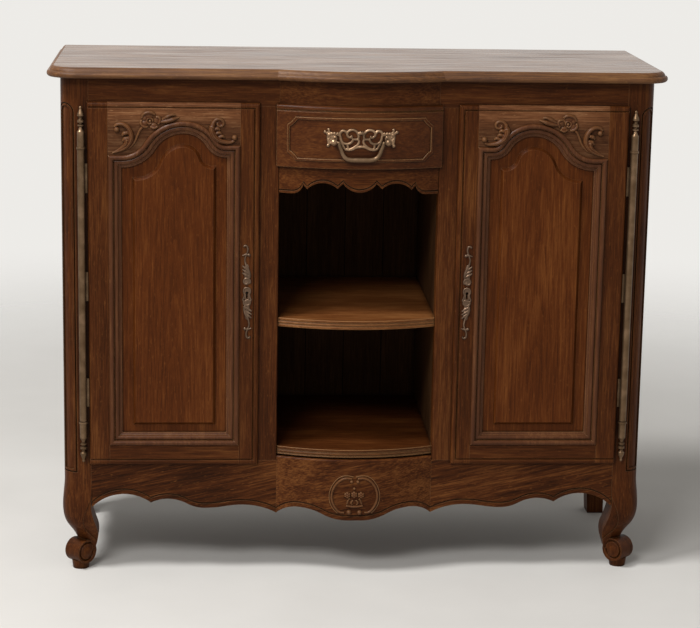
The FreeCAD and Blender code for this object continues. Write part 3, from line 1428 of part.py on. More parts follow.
def pull_post(side):
    """A turned head with an eye for the bail, a shank and a nut inside the drawer."""
    x = side * PULL_POST_SPREAD
    half = PULL_POST_HEAD / 2
    profile = polygon([
        (0, -PULL_POST_HEAD), (half, -PULL_POST_HEAD), (PULL_POST_HEAD, -half),
        (PULL_POST_HEAD, half), (half, PULL_POST_HEAD), (0, PULL_POST_HEAD),
    ])
    head = stand(revolved(profile, 0, 0), 0)
    head.translate(Vector(x, PULL_Y, PULL_HEIGHT))
    inside = BOW_CENTRE - math.sqrt(DRAWER_BACK_RADIUS ** 2 - (PULL_POST_SPREAD - PULL_NUT_RADIUS) ** 2)
    seat = BOW_CENTRE - math.sqrt(DRAWER_BACK_RADIUS ** 2 - (PULL_POST_SPREAD + PULL_NUT_RADIUS) ** 2)
    nut = Part.makeCylinder(
        PULL_NUT_RADIUS, seat - inside + PULL_NUT_HEIGHT, Vector(x, inside, PULL_HEIGHT), Vector(0, 1, 0)
    )
    nut = nut.common(bow_cylinder(DRAWER_BACK_RADIUS))
    eye = Part.makeCylinder(
        BAIL_PIN_RADIUS + FIT, 2 * (PULL_POST_SPREAD + FIT),
        Vector(-PULL_POST_SPREAD - FIT, PULL_Y, PULL_HEIGHT), Vector(1, 0, 0),
    )
    return joined([head, pull_shank(side, PULL_POST_SHANK), nut]).cut(eye)


def pull_plate():
    """A pierced plate of rings and leaves that follows the bow."""
    solids = []
    holes = []
    for side in (-1, 1):
        for place, (outer, inner) in ((PULL_RING_AT, PULL_RING), (PULL_CURL_AT, PULL_CURL)):
            centre = (side * place[0], place[1])
            solids.append(circle_path(centre, outer))
            holes.append(circle_path(centre, inner))
        root = (side * PULL_POST_SPREAD, 0)
        tip = (side * PULL_LEAF_TIP, 0)
        middle = (root[0] + tip[0]) / 2
        solids.append(circle_path(root, PULL_ROSETTE))
        solids.append([
            arc(root, (middle, PULL_LEAF_HALF_HEIGHT), tip),
            arc(tip, (middle, -PULL_LEAF_HALF_HEIGHT), root),
        ])
        ring_rim = side * (PULL_RING_AT[0] + (PULL_RING[0] + PULL_RING[1]) / 2)
        link = (-PULL_LINK_HALF_HEIGHT, PULL_LINK_HALF_HEIGHT)
        solids.append(rectangle(sorted((ring_rim, root[0])), link, 0))
    plate = pierced(solids, holes, BOW_REACH)
    plate.translate(Vector(0, PULL_HEIGHT, 0))
    plate = stand(plate, FRONT)
    outer = bow_cylinder(DRAWER_FACE_RADIUS + PULL_PLATE_THICKNESS)
    plate = plate.common(outer).cut(bow_cylinder(DRAWER_FACE_RADIUS))
    return plate.cut([pull_shank(side, PULL_POST_SHANK + FIT) for side in (-1, 1)])


def bail_path():
    """The middle line of the bail: straight at the pins, leaning in, then round to the grip."""
    x = BAIL_HALF_WIDTH
    low = -BAIL_DROP
    lean = math.radians(BAIL_LEAN)

    def on_arc(centre, radius, turn):
        return (centre[0] - radius * math.cos(turn), centre[1] - radius * math.sin(turn))

    shoulder = (-x + BAIL_SHOULDER, -BAIL_SHOULDER_DROP)
    shoulder_start = (-x, shoulder[1])
    shoulder_end = on_arc(shoulder, BAIL_SHOULDER, lean)
    heel_height = low + BAIL_CORNER
    fall = shoulder_end[1] - heel_height + BAIL_CORNER * math.sin(lean)
    heel = (shoulder_end[0] + fall * math.tan(lean) + BAIL_CORNER * math.cos(lean), heel_height)
    heel_start = on_arc(heel, BAIL_CORNER, lean)
    heel_end = (heel[0], low)
    half = [
        line((-x, BAIL_RADIUS), shoulder_start),
        arc(shoulder_start, on_arc(shoulder, BAIL_SHOULDER, lean / 2), shoulder_end),
        line(shoulder_end, heel_start),
        arc(heel_start, on_arc(heel, BAIL_CORNER, (lean + math.pi / 2) / 2), heel_end),
    ]
    return half + [line(heel_end, (-heel_end[0], low))] + flipped(half)


def bail():
    """A drop handle that leans in to a swollen grip, with a pin at each end."""
    x = BAIL_HALF_WIDTH
    start = Vector(-x, BAIL_RADIUS, 0)
    section = Part.Face(Part.Wire([Part.makeCircle(BAIL_RADIUS, start, Vector(0, 1, 0))]))
    rod = wire(bail_path()).makePipe(section)
    half = BAIL_GRIP_HALF_LENGTH
    flat = half * BAIL_GRIP_FLAT_SHARE
    swelling = polygon([
        (0, -half), (BAIL_RADIUS, -half), (BAIL_GRIP_RADIUS, -flat),
        (BAIL_GRIP_RADIUS, flat), (BAIL_RADIUS, half), (0, half),
    ])
    grip = revolved(swelling, 0, 0)
    grip.rotate(Vector(0, 0, 0), Vector(0, 1, 0), 90)
    grip.translate(Vector(0, -BAIL_DROP, 0))
    pieces = [rod, grip]
    for side in (-1, 1):
        root = Vector(side * x, 0, 0)
        pin = Part.makeCylinder(BAIL_PIN_RADIUS, PULL_POST_SPREAD - x, root, Vector(side, 0, 0))
        pieces.append(pin)
    handle = joined(pieces)
    handle.translate(Vector(0, PULL_HEIGHT, 0))
    return stand(handle, PULL_Y)


# Assembly: each entry is one sub-part, with all its solids

def build():
    rail, rail_peg = frieze_rail()
    apron, apron_peg = left_apron()
    panel = side_panel()
    sheets = back_panels()
    knuckle, knuckle_leaf = upper_knuckle()
    tube, tube_leaves = barrel()
    raised_panel = door_panel()
    top_rail, bottom_rail, door_pegs = door_rails()
    shelf = niche_board(NICHE_SHELF_TOP, NICHE_SHELF_THICKNESS)
    floor = niche_floor()

    post = front_post().cut([rail_peg, apron_peg, panel, knuckle_leaf, lower_twin(knuckle_leaf)])
    rear_post = back_post().cut([panel] + sheets)
    corners = [
        box((-SIDE, -POST_INNER), (FRONT, POST_BACK), (0, CARCASS_TOP)),
        box((-SIDE, -BACK_POST_INNER), (BACK_POST_FRONT, BACK), (0, CARCASS_TOP)),
    ]
    hinge_stile = door_stile(DOOR_HINGE_EDGE, DOOR_HINGE_CORE, PANEL_HINGE)
    hinge_stile = hinge_stile.cut(door_pegs + tube_leaves + [raised_panel])
    lock_stile = door_stile(DOOR_LOCK_EDGE, DOOR_LOCK_CORE, PANEL_LOCK)
    lock_stile = lock_stile.cut(door_pegs + [raised_panel, keyway()])

    paired = {
        "front_post": [post],
        "back_post": [rear_post],
        "inner_stile": [inner_stile()],
        "frieze_rail": [rail],
        "apron": [apron],
        "side_panel": [panel],
        "side_rails": [solid.cut(panel) for solid in side_rails()],
        "partition": [partition()],
        "door_hinge_stile": [hinge_stile],
        "door_lock_stile": [lock_stile],
        "door_top_rail": [top_rail.cut(raised_panel)],
        "door_bottom_rail": [bottom_rail.cut(raised_panel)],
        "door_panel": [raised_panel],
        "door_panel_moulding": [door_moulding()],
        "hinge_knuckles": [knuckle, lower_twin(knuckle)],
        "hinge_barrel": [tube],
        "escutcheon": [escutcheon()],
        "lock_case": [lock_case()],
        "lock_bolt": [lock_bolt()],
    }
    single = {
        "top_board": [top_board()],
        "centre_frieze_rail": [centre_frieze_rail()],
        "centre_apron": [centre_apron()],
        "drawer_valance": [valance()],
        "niche_shelf": [shelf],
        "niche_floor": [floor],
        "niche_ceiling": [niche_ceiling()],
        "cupboard_floors": both(cupboard_floor(corners)),
        "cupboard_shelves": both(cupboard_shelf(corners)),
        "shelf_cleats": [s for cleat in shelf_cleats() for s in both(cleat)],
        "drawer_runners": both(drawer_runner()),
        "back_panels": sheets,
        "back_rails": back_rails(),
        "hinge_pins": both(hinge_pin()),
        "drawer_front": [drawer_front()],
        "drawer_sides": both(drawer_side()),
        "drawer_back": [drawer_back()],
        "drawer_bottom": [drawer_bottom()],
        "pull_plate": [pull_plate()],
        "pull_posts": [pull_post(-1), pull_post(1)],
        "drawer_bail": [bail()],
    }
    nodes = dict(single)
    for name, solids in paired.items():
        nodes["left_" + name] = solids
        nodes["right_" + name] = [mirrored(solid) for solid in solids]
    return nodes


os.makedirs("parts", exist_ok=True)
for node, solids in build().items():
    shape = solids[0] if len(solids) == 1 else Part.makeCompound(solids)
    shape.exportStep("parts/" + node + ".step")
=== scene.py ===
"""Looks for the oak credenza: waxed oak, aged brass, carved scrolls and flowers, pierced metalwork.

Metres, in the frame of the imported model: +Z up, the front faces -Y.
Sizes are written in millimetres times MM.
"""

import math

import bpy
from mathutils import Matrix, Vector


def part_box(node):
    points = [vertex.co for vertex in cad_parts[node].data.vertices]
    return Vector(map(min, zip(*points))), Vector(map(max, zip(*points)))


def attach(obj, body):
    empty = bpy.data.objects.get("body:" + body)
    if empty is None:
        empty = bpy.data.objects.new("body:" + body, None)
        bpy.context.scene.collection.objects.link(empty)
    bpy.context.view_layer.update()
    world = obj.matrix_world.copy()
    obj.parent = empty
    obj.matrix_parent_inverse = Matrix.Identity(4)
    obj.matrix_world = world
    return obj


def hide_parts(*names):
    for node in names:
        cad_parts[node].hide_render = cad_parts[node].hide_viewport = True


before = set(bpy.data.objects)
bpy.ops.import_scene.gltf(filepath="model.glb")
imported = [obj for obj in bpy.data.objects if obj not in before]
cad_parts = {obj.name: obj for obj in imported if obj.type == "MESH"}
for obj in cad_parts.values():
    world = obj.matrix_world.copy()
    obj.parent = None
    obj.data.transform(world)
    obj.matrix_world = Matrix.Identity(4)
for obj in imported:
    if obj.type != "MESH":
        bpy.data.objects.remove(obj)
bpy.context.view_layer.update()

MM = 0.001

# Places on the piece that the carving and metalwork are laid on, in millimetres
DOOR_FACE = -197.0
BOW_CENTRE = 169.414
APRON_RADIUS = 392.414
DRAWER_RADIUS = 401.414
LOCK_X = -226.0
LOCK_HEIGHT = 600.0
PULL_MIDDLE = 917.0
BAIL_HINGE = -240.5

# How far the middle of a casting stands off the wood behind it, in millimetres
PULL_STAND_OFF = 0.6
PLATE_STAND_OFF = 0.5

# Finishes: sRGB colours of the stained boards, from the deepest grain to the palest
FRAME_STAIN = ("#261105", "#46230d", "#683e1d")
# The doors' top rails are stained paler as painted light, for the light their grain catches
RAIL_STAIN_WITH_PAINTED_LIGHT = ("#391f10", "#6a4228", "#9a704d")
# The panel mouldings are stained a little paler as painted light, for the highlights along them
MOULDING_STAIN_WITH_PAINTED_LIGHT = ("#2c160a", "#4e2c17", "#785031")
# The niche shelf is stained paler: a worn top, and painted light where the drawer above shades it
SHELF_STAIN_WITH_PAINTED_LIGHT = ("#35190a", "#63381a", "#8c5d34")
PANEL_STAIN = ("#2e1405", "#50270d", "#72421d")
TOP_STAIN = ("#341b0c", "#5c391b", "#7e5730")
INSIDE_STAIN = ("#2c1b10", "#412a18", "#573c24")
DRAWER_WOOD = ("#4a3420", "#6d5233", "#8a6b45")
# Edges and carved ridges are painted paler, partly real wear and partly a painted highlight
WORN_EDGE_AND_HIGHLIGHT = "#a07850"
# Hollows are painted dark, partly old wax and partly painted shade; the same tone draws the board joints
# and darkens the foot of the top rails
DARK_WAX_AND_SHADE = "#100502"
WAX_IOR = 1.47

# Grain of oak: widths across the grain, and how much longer each figure is along it
STREAK_WIDTH = 2.4 * MM
BAND_WIDTH = 9 * MM
CLOUD_WIDTH = 80 * MM
PORE_WIDTH = 1.5 * MM
FLECK_WIDTH = 3 * MM
STREAK_STRETCH = 22.0
CLOUD_STRETCH = 3.0
PORE_STRETCH = 10.0
FLECK_STRETCH = 3.5

# How much each figure adds to the tone of the wood, and how far apart the stain's three tones lie
STREAK_SHARE = 0.42
BAND_SHARE = 0.26
CLOUD_SHARE = 0.32
RING_SHARE = 0.07
TONE_MIDDLE = 0.5
HEARTED_TONE_MIDDLE = 0.53
TONE_SPREAD = 0.13

# Where flecks and pores begin to show in their noise, where they are full, and how much they cover there
FLECK_START = 0.62
FLECK_FULL = 0.76
FLECK_COVER = 0.7
PORE_START = 0.54
PORE_FULL = 0.72
PORE_COVER = 0.6
PORE_RELIEF = 0.2
PORE_DEPTH = 0.5 * MM

# Old wax and painted shade darken each hollow from where it is deepest to where it opens, and the last
# share darkens a rail towards its foot
DEEP_HOLLOW = 0.25
OPEN_HOLLOW = 0.85
HOLLOW_COVER = 0.9
BELOW_DARKENING = 0.5

# Worn edges, partly a painted highlight, show where the surface bends, and worn ridges, partly a painted
# highlight, where the carving stands out
SHARP_BEND = 0.80
NO_BEND = 0.985
EDGE_WEAR_AND_HIGHLIGHT = 0.55
RIDGE_FOOT = 0.5
RIDGE_TOP = 0.56
SHADE_SAMPLES = 6

# How much duller the deep grain is than its board, and how much smoother the pale grain
DEEP_GRAIN_DULLER = 0.08
PALE_GRAIN_SMOOTHER = 0.04

# Polish: how upright a surface's normal is where the cloth starts and where it rubs fully, and its streaks
POLISH_STARTS = 0.95
POLISH_FULL = 0.995
POLISH_BANDS = (0.35, 0.65)
POLISH_WEIGHTS = (0.35, 1.0)
POLISH_ROUGHNESS = 0.2

# Boards that the wide surfaces are glued or nailed up from: direction, width, and how dark the joints are
TOP_BOARDS = ("Y", 128 * MM, 0.3)
SHELF_BOARDS = ("Y", 118 * MM, 0.5)
BACK_BOARDS = ("X", 85.5 * MM, 0.9)
JOINT_WIDTH = 1.6 * MM

# How far apart in the tree the grain of two pieces and of two boards is taken
PIECE_SPREAD = 7.0
BOARD_JUMP = 3.7

# Heights between which the doors' top rails turn from darker, round the carving, to lighter above
CARVED_HEIGHTS = (938 * MM, 964 * MM)

# Where the heart of each door's panel lies, from the middle of the piece and from the floor
PANEL_HEART = (374 * MM, 150 * MM)
HEART_STRETCH = 16.0
RING_WIDTH = 7 * MM
RING_WIDTH_AT_SCALE_1 = 0.314

# Brass: its tones from tarnished to rubbed, and where they lie in the noise of its tarnish
DULL_TONES = ("#543f2a", "#67513b", "#836850")
WORN_TONES = ("#4b3a2c", "#655040", "#8a715d")
RUBBED_TONES = ("#5a4634", "#876b51", "#b59373")
TARNISH_STOPS = (0.3, 0.55, 0.8)
TARNISH_WIDTH = 25 * MM
BRASS_ROUGHNESS = (0.46, 0.32)
BRASS_METALLIC = 0.85
# Brass hollows are painted dark, partly dirt and partly painted shade
BRASS_DIRT_AND_SHADE = "#1f160e"
DIRT_AND_SHADE_REACH = 9 * MM
CLEAN_UNSHADED_BRASS = 0.75
PIT_WIDTH = 1.2 * MM
PIT_RELIEF = 0.15
PIT_DEPTH = 0.3 * MM

# Steel: its tones from brown to bare, where they lie in the noise of its age, and its file marks
STEEL_TONES = ("#3b3029", "#6f6a64", "#8d8983")
STEEL_STOPS = (0.35, 0.55, 0.8)
STEEL_AGE = (0.3, 0.8)
STEEL_AGE_WIDTH = 12 * MM
STEEL_ROUGHNESS = (0.6, 0.35)
FILE_MARK_WIDTH = 0.8 * MM
FILE_MARK_SQUEEZE = 0.05
FILE_MARK_RELIEF = 0.2
FILE_MARK_DEPTH = 0.2 * MM

# Small fixings, in millimetres, with slots and rounding as shares of the head or its rise
SCREW_HEAD = 3.2
SCREW_RISE = 0.8
SCREW_INSET = 7.0
SCREW_ROUNDING = 0.4
SLOT_LENGTH = 3
SLOT_WIDTH = 0.3
SLOT_TURN = math.radians(35)
NAIL_HEAD = 2.6
NAIL_RISE = 0.8
NAIL_INSET = 9.0
NAIL_ROUNDING = 0.7
NAIL_ROWS = 7
CREASE_ANGLE = math.radians(40)

# Sockets of a Mix node that is set to colours
MIX_UNDER = 6
MIX_OVER = 7
MIX_RESULT = 2


def linear(hex_colour):
    """An sRGB hex colour as linear RGBA."""
    parts = [int(hex_colour[i:i + 2], 16) / 255 for i in (1, 3, 5)]
    return [c / 12.92 if c <= 0.04045 else ((c + 0.055) / 1.055) ** 2.4 for c in parts] + [1.0]


def add_node(tree, kind, links, stops=(), **settings):
    """A node with its settings, whose sockets are given a link or a fixed value.

    The stops of a colour ramp are each a position and a linear colour or a grey.
    """
    node = tree.nodes.new(kind)
    for name, value in settings.items():
        setattr(node, name, value)
    for socket, source in links.items():
        if isinstance(source, bpy.types.NodeSocket):
            tree.links.new(source, node.inputs[socket])
        else:
            node.inputs[socket].default_value = source
    if stops:
        points = node.color_ramp.elements
        while len(points) < len(stops):
            points.new(1.0)
        for point, (position, colour) in zip(points, stops):
            point.position = position
            point.color = colour if isinstance(colour, list) else (colour, colour, colour, 1.0)
    return node


def new_material(name):
    """An empty material and its node tree."""
    material = bpy.data.materials.new(name)
    material.use_nodes = True
    tree = material.node_tree
    tree.nodes.clear()
    return material, tree


def tones_at(stops, tones):
    """Stops of a colour ramp from positions and sRGB hex colours."""
    return [(position, linear(tone)) for position, tone in zip(stops, tones)]


def along_grain(tree, place, along, stretch, slant):
    """Coordinates drawn out along the grain, so that a noise in them runs with it."""
    drawn_out = [stretch if axis == along else 1.0 for axis in "XYZ"]
    grain = add_node(tree, "ShaderNodeMapping", {
        "Vector": place, "Scale": drawn_out, "Rotation": (0, math.radians(slant), 0)},
        vector_type="TEXTURE")
    return grain.outputs["Vector"]


def own_grain(tree, place):
    """Coordinates that are somewhere else in the tree for each piece, so that no two look alike."""
    piece = add_node(tree, "ShaderNodeObjectInfo", {})
    shift = add_node(tree, "ShaderNodeVectorMath", {
        0: (PIECE_SPREAD,) * 3, 1: piece.outputs["Random"]}, operation="MULTIPLY")
    shifted = add_node(tree, "ShaderNodeVectorMath", {0: place, 1: shift.outputs[0]}, operation="ADD")
    return shifted.outputs[0]


def split_in_boards(tree, place, own_place, boards):
    """Coordinates with a new grain in each board of a wide surface, and a mask of the joints."""
    over, board_width, joint_cover = boards
    sides = add_node(tree, "ShaderNodeSeparateXYZ", {"Vector": place})
    count = add_node(tree, "ShaderNodeMath", {
        0: sides.outputs[over], 1: board_width}, operation="DIVIDE")
    number = add_node(tree, "ShaderNodeMath", {0: count.outputs[0]}, operation="FLOOR")
    jump = add_node(tree, "ShaderNodeVectorMath", {
        0: (BOARD_JUMP,) * 3, 1: number.outputs[0]}, operation="MULTIPLY")
    board_place = add_node(tree, "ShaderNodeVectorMath", {
        0: own_place, 1: jump.outputs[0]}, operation="ADD")
    part = add_node(tree, "ShaderNodeMath", {0: count.outputs[0]}, operation="FRACT")
    off_middle = add_node(tree, "ShaderNodeMath", {0: part.outputs[0], 1: 0.5}, operation="SUBTRACT")
    outwards = add_node(tree, "ShaderNodeMath", {0: off_middle.outputs[0]}, operation="ABSOLUTE")
    half_joint = JOINT_WIDTH / board_width / 2
    joints = add_node(tree, "ShaderNodeValToRGB", {"Fac": outwards.outputs[0]}, stops=[
        (0.5 - 2 * half_joint, 0.0), (0.5 - half_joint, joint_cover)])
    return board_place.outputs[0], joints.outputs["Color"]


def year_rings(tree, place):
    """Rings round the heart of a door's panel, drawn out up the board to pointed arches."""
    axes = add_node(tree, "ShaderNodeSeparateXYZ", {"Vector": place})
    from_middle = add_node(tree, "ShaderNodeMath", {0: axes.outputs["X"]}, operation="ABSOLUTE")
    across = add_node(tree, "ShaderNodeMath", {
        0: from_middle.outputs[0], 1: PANEL_HEART[0]}, operation="SUBTRACT")
    up = add_node(tree, "ShaderNodeMath", {
        0: axes.outputs["Z"], 1: PANEL_HEART[1]}, operation="SUBTRACT")
    squeezed_up = add_node(tree, "ShaderNodeMath", {
        0: up.outputs[0], 1: HEART_STRETCH}, operation="DIVIDE")
    log = add_node(tree, "ShaderNodeCombineXYZ", {"X": across.outputs[0], "Z": squeezed_up.outputs[0]})
    rings = add_node(tree, "ShaderNodeTexWave", {
        "Vector": log.outputs[0], "Scale": RING_WIDTH_AT_SCALE_1 / RING_WIDTH, "Distortion": 3.0,
        "Detail": 3.0, "Detail Scale": 2.0},
        wave_type="RINGS", rings_direction="SPHERICAL", wave_profile="SAW")
    return rings.outputs["Fac"]


def oak(name, stain, along, roughness=0.36, shine=0.07, figure=0.8, wear_and_highlight=0.7, edge=1.0, ridge_wear_and_highlight=0.0,
        slant=0.0, hollow_reach=16, hearted=False, polished=False, boards=None, darker_below=None):
    """Stained oak, planed and waxed: fine streaks along the grain, dark pores, pale flecks, a quiet sheen.

    The pores are drawn about five times as wide as real ones, because finer ones don't show.
    Wax has gathered dark in the hollows, with painted shade there too, as far out as hollow_reach says, in
    millimetres.
    Hands have rubbed the edges, as wide as edge says, in millimetres, and the ridges of the carving paler;
    these paler edges and ridges are partly a painted highlight.
    A hearted board is cut through the middle of the tree, and its year rings show as pointed arches.
    A polished board shines in streaks where it lies level, and is duller along its moulded edge.
    A board given two heights is darker up to the first, and not darkened from the second up.
    A surface of several boards has its own grain in each, and a joint drawn wider than a real one,
    so that it shows.
    """
    material, tree = new_material(name)
    place = add_node(tree, "ShaderNodeTexCoord", {}).outputs["Object"]
    own_place = own_grain(tree, place)
    if boards:
        own_place, joint_mask = split_in_boards(tree, place, own_place, boards)

    grain = along_grain(tree, own_place, along, STREAK_STRETCH, slant)
    streaks = add_node(tree, "ShaderNodeTexNoise", {
        "Vector": grain, "Scale": 1 / STREAK_WIDTH, "Detail": 3.0, "Roughness": 0.6})
    bands = add_node(tree, "ShaderNodeTexNoise", {
        "Vector": grain, "Scale": 1 / BAND_WIDTH, "Detail": 3.0, "Roughness": 0.55, "Distortion": 0.4})
    clouds = add_node(tree, "ShaderNodeTexNoise", {
        "Vector": along_grain(tree, own_place, along, CLOUD_STRETCH, slant),
        "Scale": 1 / CLOUD_WIDTH, "Detail": 3.0})
    pores = add_node(tree, "ShaderNodeTexNoise", {
        "Vector": along_grain(tree, own_place, along, PORE_STRETCH, slant),
        "Scale": 1 / PORE_WIDTH, "Detail": 2.0, "Roughness": 0.7})
    flecks = add_node(tree, "ShaderNodeTexNoise", {
        "Vector": along_grain(tree, own_place, along, FLECK_STRETCH, slant),
        "Scale": 1 / FLECK_WIDTH, "Detail": 2.0})

    tone = add_node(tree, "ShaderNodeMath", {
        0: streaks.outputs["Fac"], 1: STREAK_SHARE}, operation="MULTIPLY").outputs[0]
    shares = [(bands.outputs["Fac"], BAND_SHARE), (clouds.outputs["Fac"], CLOUD_SHARE)]
    if hearted:
        shares.append((year_rings(tree, place), RING_SHARE))
    for drawn, share in shares:
        tone = add_node(tree, "ShaderNodeMath", {
            0: drawn, 1: share, 2: tone}, operation="MULTIPLY_ADD").outputs[0]
    spread = TONE_SPREAD / figure
    middle = HEARTED_TONE_MIDDLE if hearted else TONE_MIDDLE
    deep_grain, pale_grain = stain[0], stain[2]
    wood = add_node(tree, "ShaderNodeValToRGB", {"Fac": tone}, stops=tones_at(
        (middle - spread, middle, middle + spread), stain))

    fleck_mask = add_node(tree, "ShaderNodeValToRGB", {"Fac": flecks.outputs["Fac"]}, stops=[
        (FLECK_START, 0.0), (FLECK_FULL, FLECK_COVER * figure)])
    pore_mask = add_node(tree, "ShaderNodeValToRGB", {"Fac": pores.outputs["Fac"]}, stops=[
        (PORE_START, 0.0), (PORE_FULL, PORE_COVER * figure)])
    layers = [(fleck_mask.outputs["Color"], pale_grain), (pore_mask.outputs["Color"], deep_grain)]
    if boards:
        layers.append((joint_mask, DARK_WAX_AND_SHADE))
    # Old wax and painted shade darken the hollows
    hollow = add_node(tree, "ShaderNodeAmbientOcclusion", {
        "Distance": hollow_reach * MM}, samples=SHADE_SAMPLES)
    wax_and_shade_mask = add_node(tree, "ShaderNodeValToRGB", {"Fac": hollow.outputs["AO"]}, stops=[
        (DEEP_HOLLOW, HOLLOW_COVER), (OPEN_HOLLOW, 0.0)])
    layers.append((wax_and_shade_mask.outputs["Color"], DARK_WAX_AND_SHADE))
    # Darker towards the bottom, below the given heights
    if darker_below:
        upright = add_node(tree, "ShaderNodeSeparateXYZ", {"Vector": place})
        darkening_below = add_node(tree, "ShaderNodeMapRange", {
            "Value": upright.outputs["Z"], "From Min": darker_below[0], "From Max": darker_below[1],
            "To Min": BELOW_DARKENING, "To Max": 0.0})
        layers.append((darkening_below.outputs["Result"], DARK_WAX_AND_SHADE))
    # Worn edges, partly a painted highlight where the surface bends
    rounded = add_node(tree, "ShaderNodeBevel", {"Radius": edge * MM}, samples=SHADE_SAMPLES)
    surface = add_node(tree, "ShaderNodeNewGeometry", {})
    bend = add_node(tree, "ShaderNodeVectorMath", {
        0: rounded.outputs["Normal"], 1: surface.outputs["Normal"]}, operation="DOT_PRODUCT")
    wear_and_highlight_mask = add_node(tree, "ShaderNodeValToRGB", {"Fac": bend.outputs["Value"]}, stops=[
        (SHARP_BEND, EDGE_WEAR_AND_HIGHLIGHT * wear_and_highlight), (NO_BEND, 0.0)])
    layers.append((wear_and_highlight_mask.outputs["Color"], WORN_EDGE_AND_HIGHLIGHT))
    # Worn carved ridges, partly a painted highlight
    if ridge_wear_and_highlight:
        ridge_wear_and_highlight_mask = add_node(tree, "ShaderNodeValToRGB", {"Fac": surface.outputs["Pointiness"]}, stops=[
            (RIDGE_FOOT, 0.0), (RIDGE_TOP, ridge_wear_and_highlight)])
        layers.append((ridge_wear_and_highlight_mask.outputs["Color"], WORN_EDGE_AND_HIGHLIGHT))
    colour = wood.outputs["Color"]
    for cover, tint in layers:
        colour = add_node(tree, "ShaderNodeMix", {
            "Factor": cover, MIX_UNDER: colour, MIX_OVER: linear(tint)},
            data_type="RGBA").outputs[MIX_RESULT]

    sheen = add_node(tree, "ShaderNodeMapRange", {
        "Value": tone, "From Min": middle - spread, "From Max": middle + spread,
        "To Min": roughness + DEEP_GRAIN_DULLER, "To Max": roughness - PALE_GRAIN_SMOOTHER})
    relief = add_node(tree, "ShaderNodeBump", {
        "Height": pores.outputs["Fac"], "Normal": rounded.outputs["Normal"],
        "Strength": PORE_RELIEF, "Distance": PORE_DEPTH})
    shader = add_node(tree, "ShaderNodeBsdfPrincipled", {
        "Base Color": colour, "Roughness": sheen.outputs["Result"], "Normal": relief.outputs["Normal"],
        "IOR": WAX_IOR, "Specular IOR Level": shine})
    if polished:
        facing = add_node(tree, "ShaderNodeSeparateXYZ", {"Vector": surface.outputs["Normal"]})
        level = add_node(tree, "ShaderNodeValToRGB", {"Fac": facing.outputs["Z"]}, stops=[
            (POLISH_STARTS, 0.0), (POLISH_FULL, 1.0)])
        rubbing = add_node(tree, "ShaderNodeMapRange", {
            "Value": bands.outputs["Fac"], "From Min": POLISH_BANDS[0], "From Max": POLISH_BANDS[1],
            "To Min": POLISH_WEIGHTS[0], "To Max": POLISH_WEIGHTS[1]})
        polish = add_node(tree, "ShaderNodeMath", {
            0: level.outputs["Color"], 1: rubbing.outputs["Result"]}, operation="MULTIPLY")
        tree.links.new(polish.outputs[0], shader.inputs["Coat Weight"])
        shader.inputs["Coat Roughness"].default_value = POLISH_ROUGHNESS
    add_node(tree, "ShaderNodeOutputMaterial", {"Surface": shader.outputs["BSDF"]})
    return material


def aged_brass(name, tones):
    """Cast brass, long handled: dull grey-brown in the hollows from dirt and painted shade, paler and
    smoother where its tarnish is thin.
    """
    material, tree = new_material(name)
    place = add_node(tree, "ShaderNodeTexCoord", {}).outputs["Object"]
    tarnish = add_node(tree, "ShaderNodeTexNoise", {
        "Vector": place, "Scale": 1 / TARNISH_WIDTH, "Detail": 4.0, "Roughness": 0.55})
    pits = add_node(tree, "ShaderNodeTexNoise", {
        "Vector": place, "Scale": 1 / PIT_WIDTH, "Detail": 2.0})
    metal = add_node(tree, "ShaderNodeValToRGB", {
        "Fac": tarnish.outputs["Fac"]}, stops=tones_at(TARNISH_STOPS, tones))
    # Dirt and painted shade darken the hollows
    hollow = add_node(tree, "ShaderNodeAmbientOcclusion", {
        "Distance": DIRT_AND_SHADE_REACH}, samples=SHADE_SAMPLES)
    dirt_and_shade_mask = add_node(tree, "ShaderNodeValToRGB", {"Fac": hollow.outputs["AO"]}, stops=[
        (DEEP_HOLLOW, HOLLOW_COVER), (CLEAN_UNSHADED_BRASS, 0.0)])
    dirty_and_shaded = add_node(tree, "ShaderNodeMix", {
        "Factor": dirt_and_shade_mask.outputs["Color"], MIX_UNDER: metal.outputs["Color"],
        MIX_OVER: linear(BRASS_DIRT_AND_SHADE)}, data_type="RGBA")
    smooth = add_node(tree, "ShaderNodeMapRange", {
        "Value": tarnish.outputs["Fac"], "From Min": TARNISH_STOPS[0], "From Max": TARNISH_STOPS[2],
        "To Min": BRASS_ROUGHNESS[0], "To Max": BRASS_ROUGHNESS[1]})
    relief = add_node(tree, "ShaderNodeBump", {
        "Height": pits.outputs["Fac"], "Strength": PIT_RELIEF, "Distance": PIT_DEPTH})
    shader = add_node(tree, "ShaderNodeBsdfPrincipled", {
        "Base Color": dirty_and_shaded.outputs[MIX_RESULT], "Roughness": smooth.outputs["Result"],
        "Metallic": BRASS_METALLIC, "Normal": relief.outputs["Normal"]})
    add_node(tree, "ShaderNodeOutputMaterial", {"Surface": shader.outputs["BSDF"]})
    return material


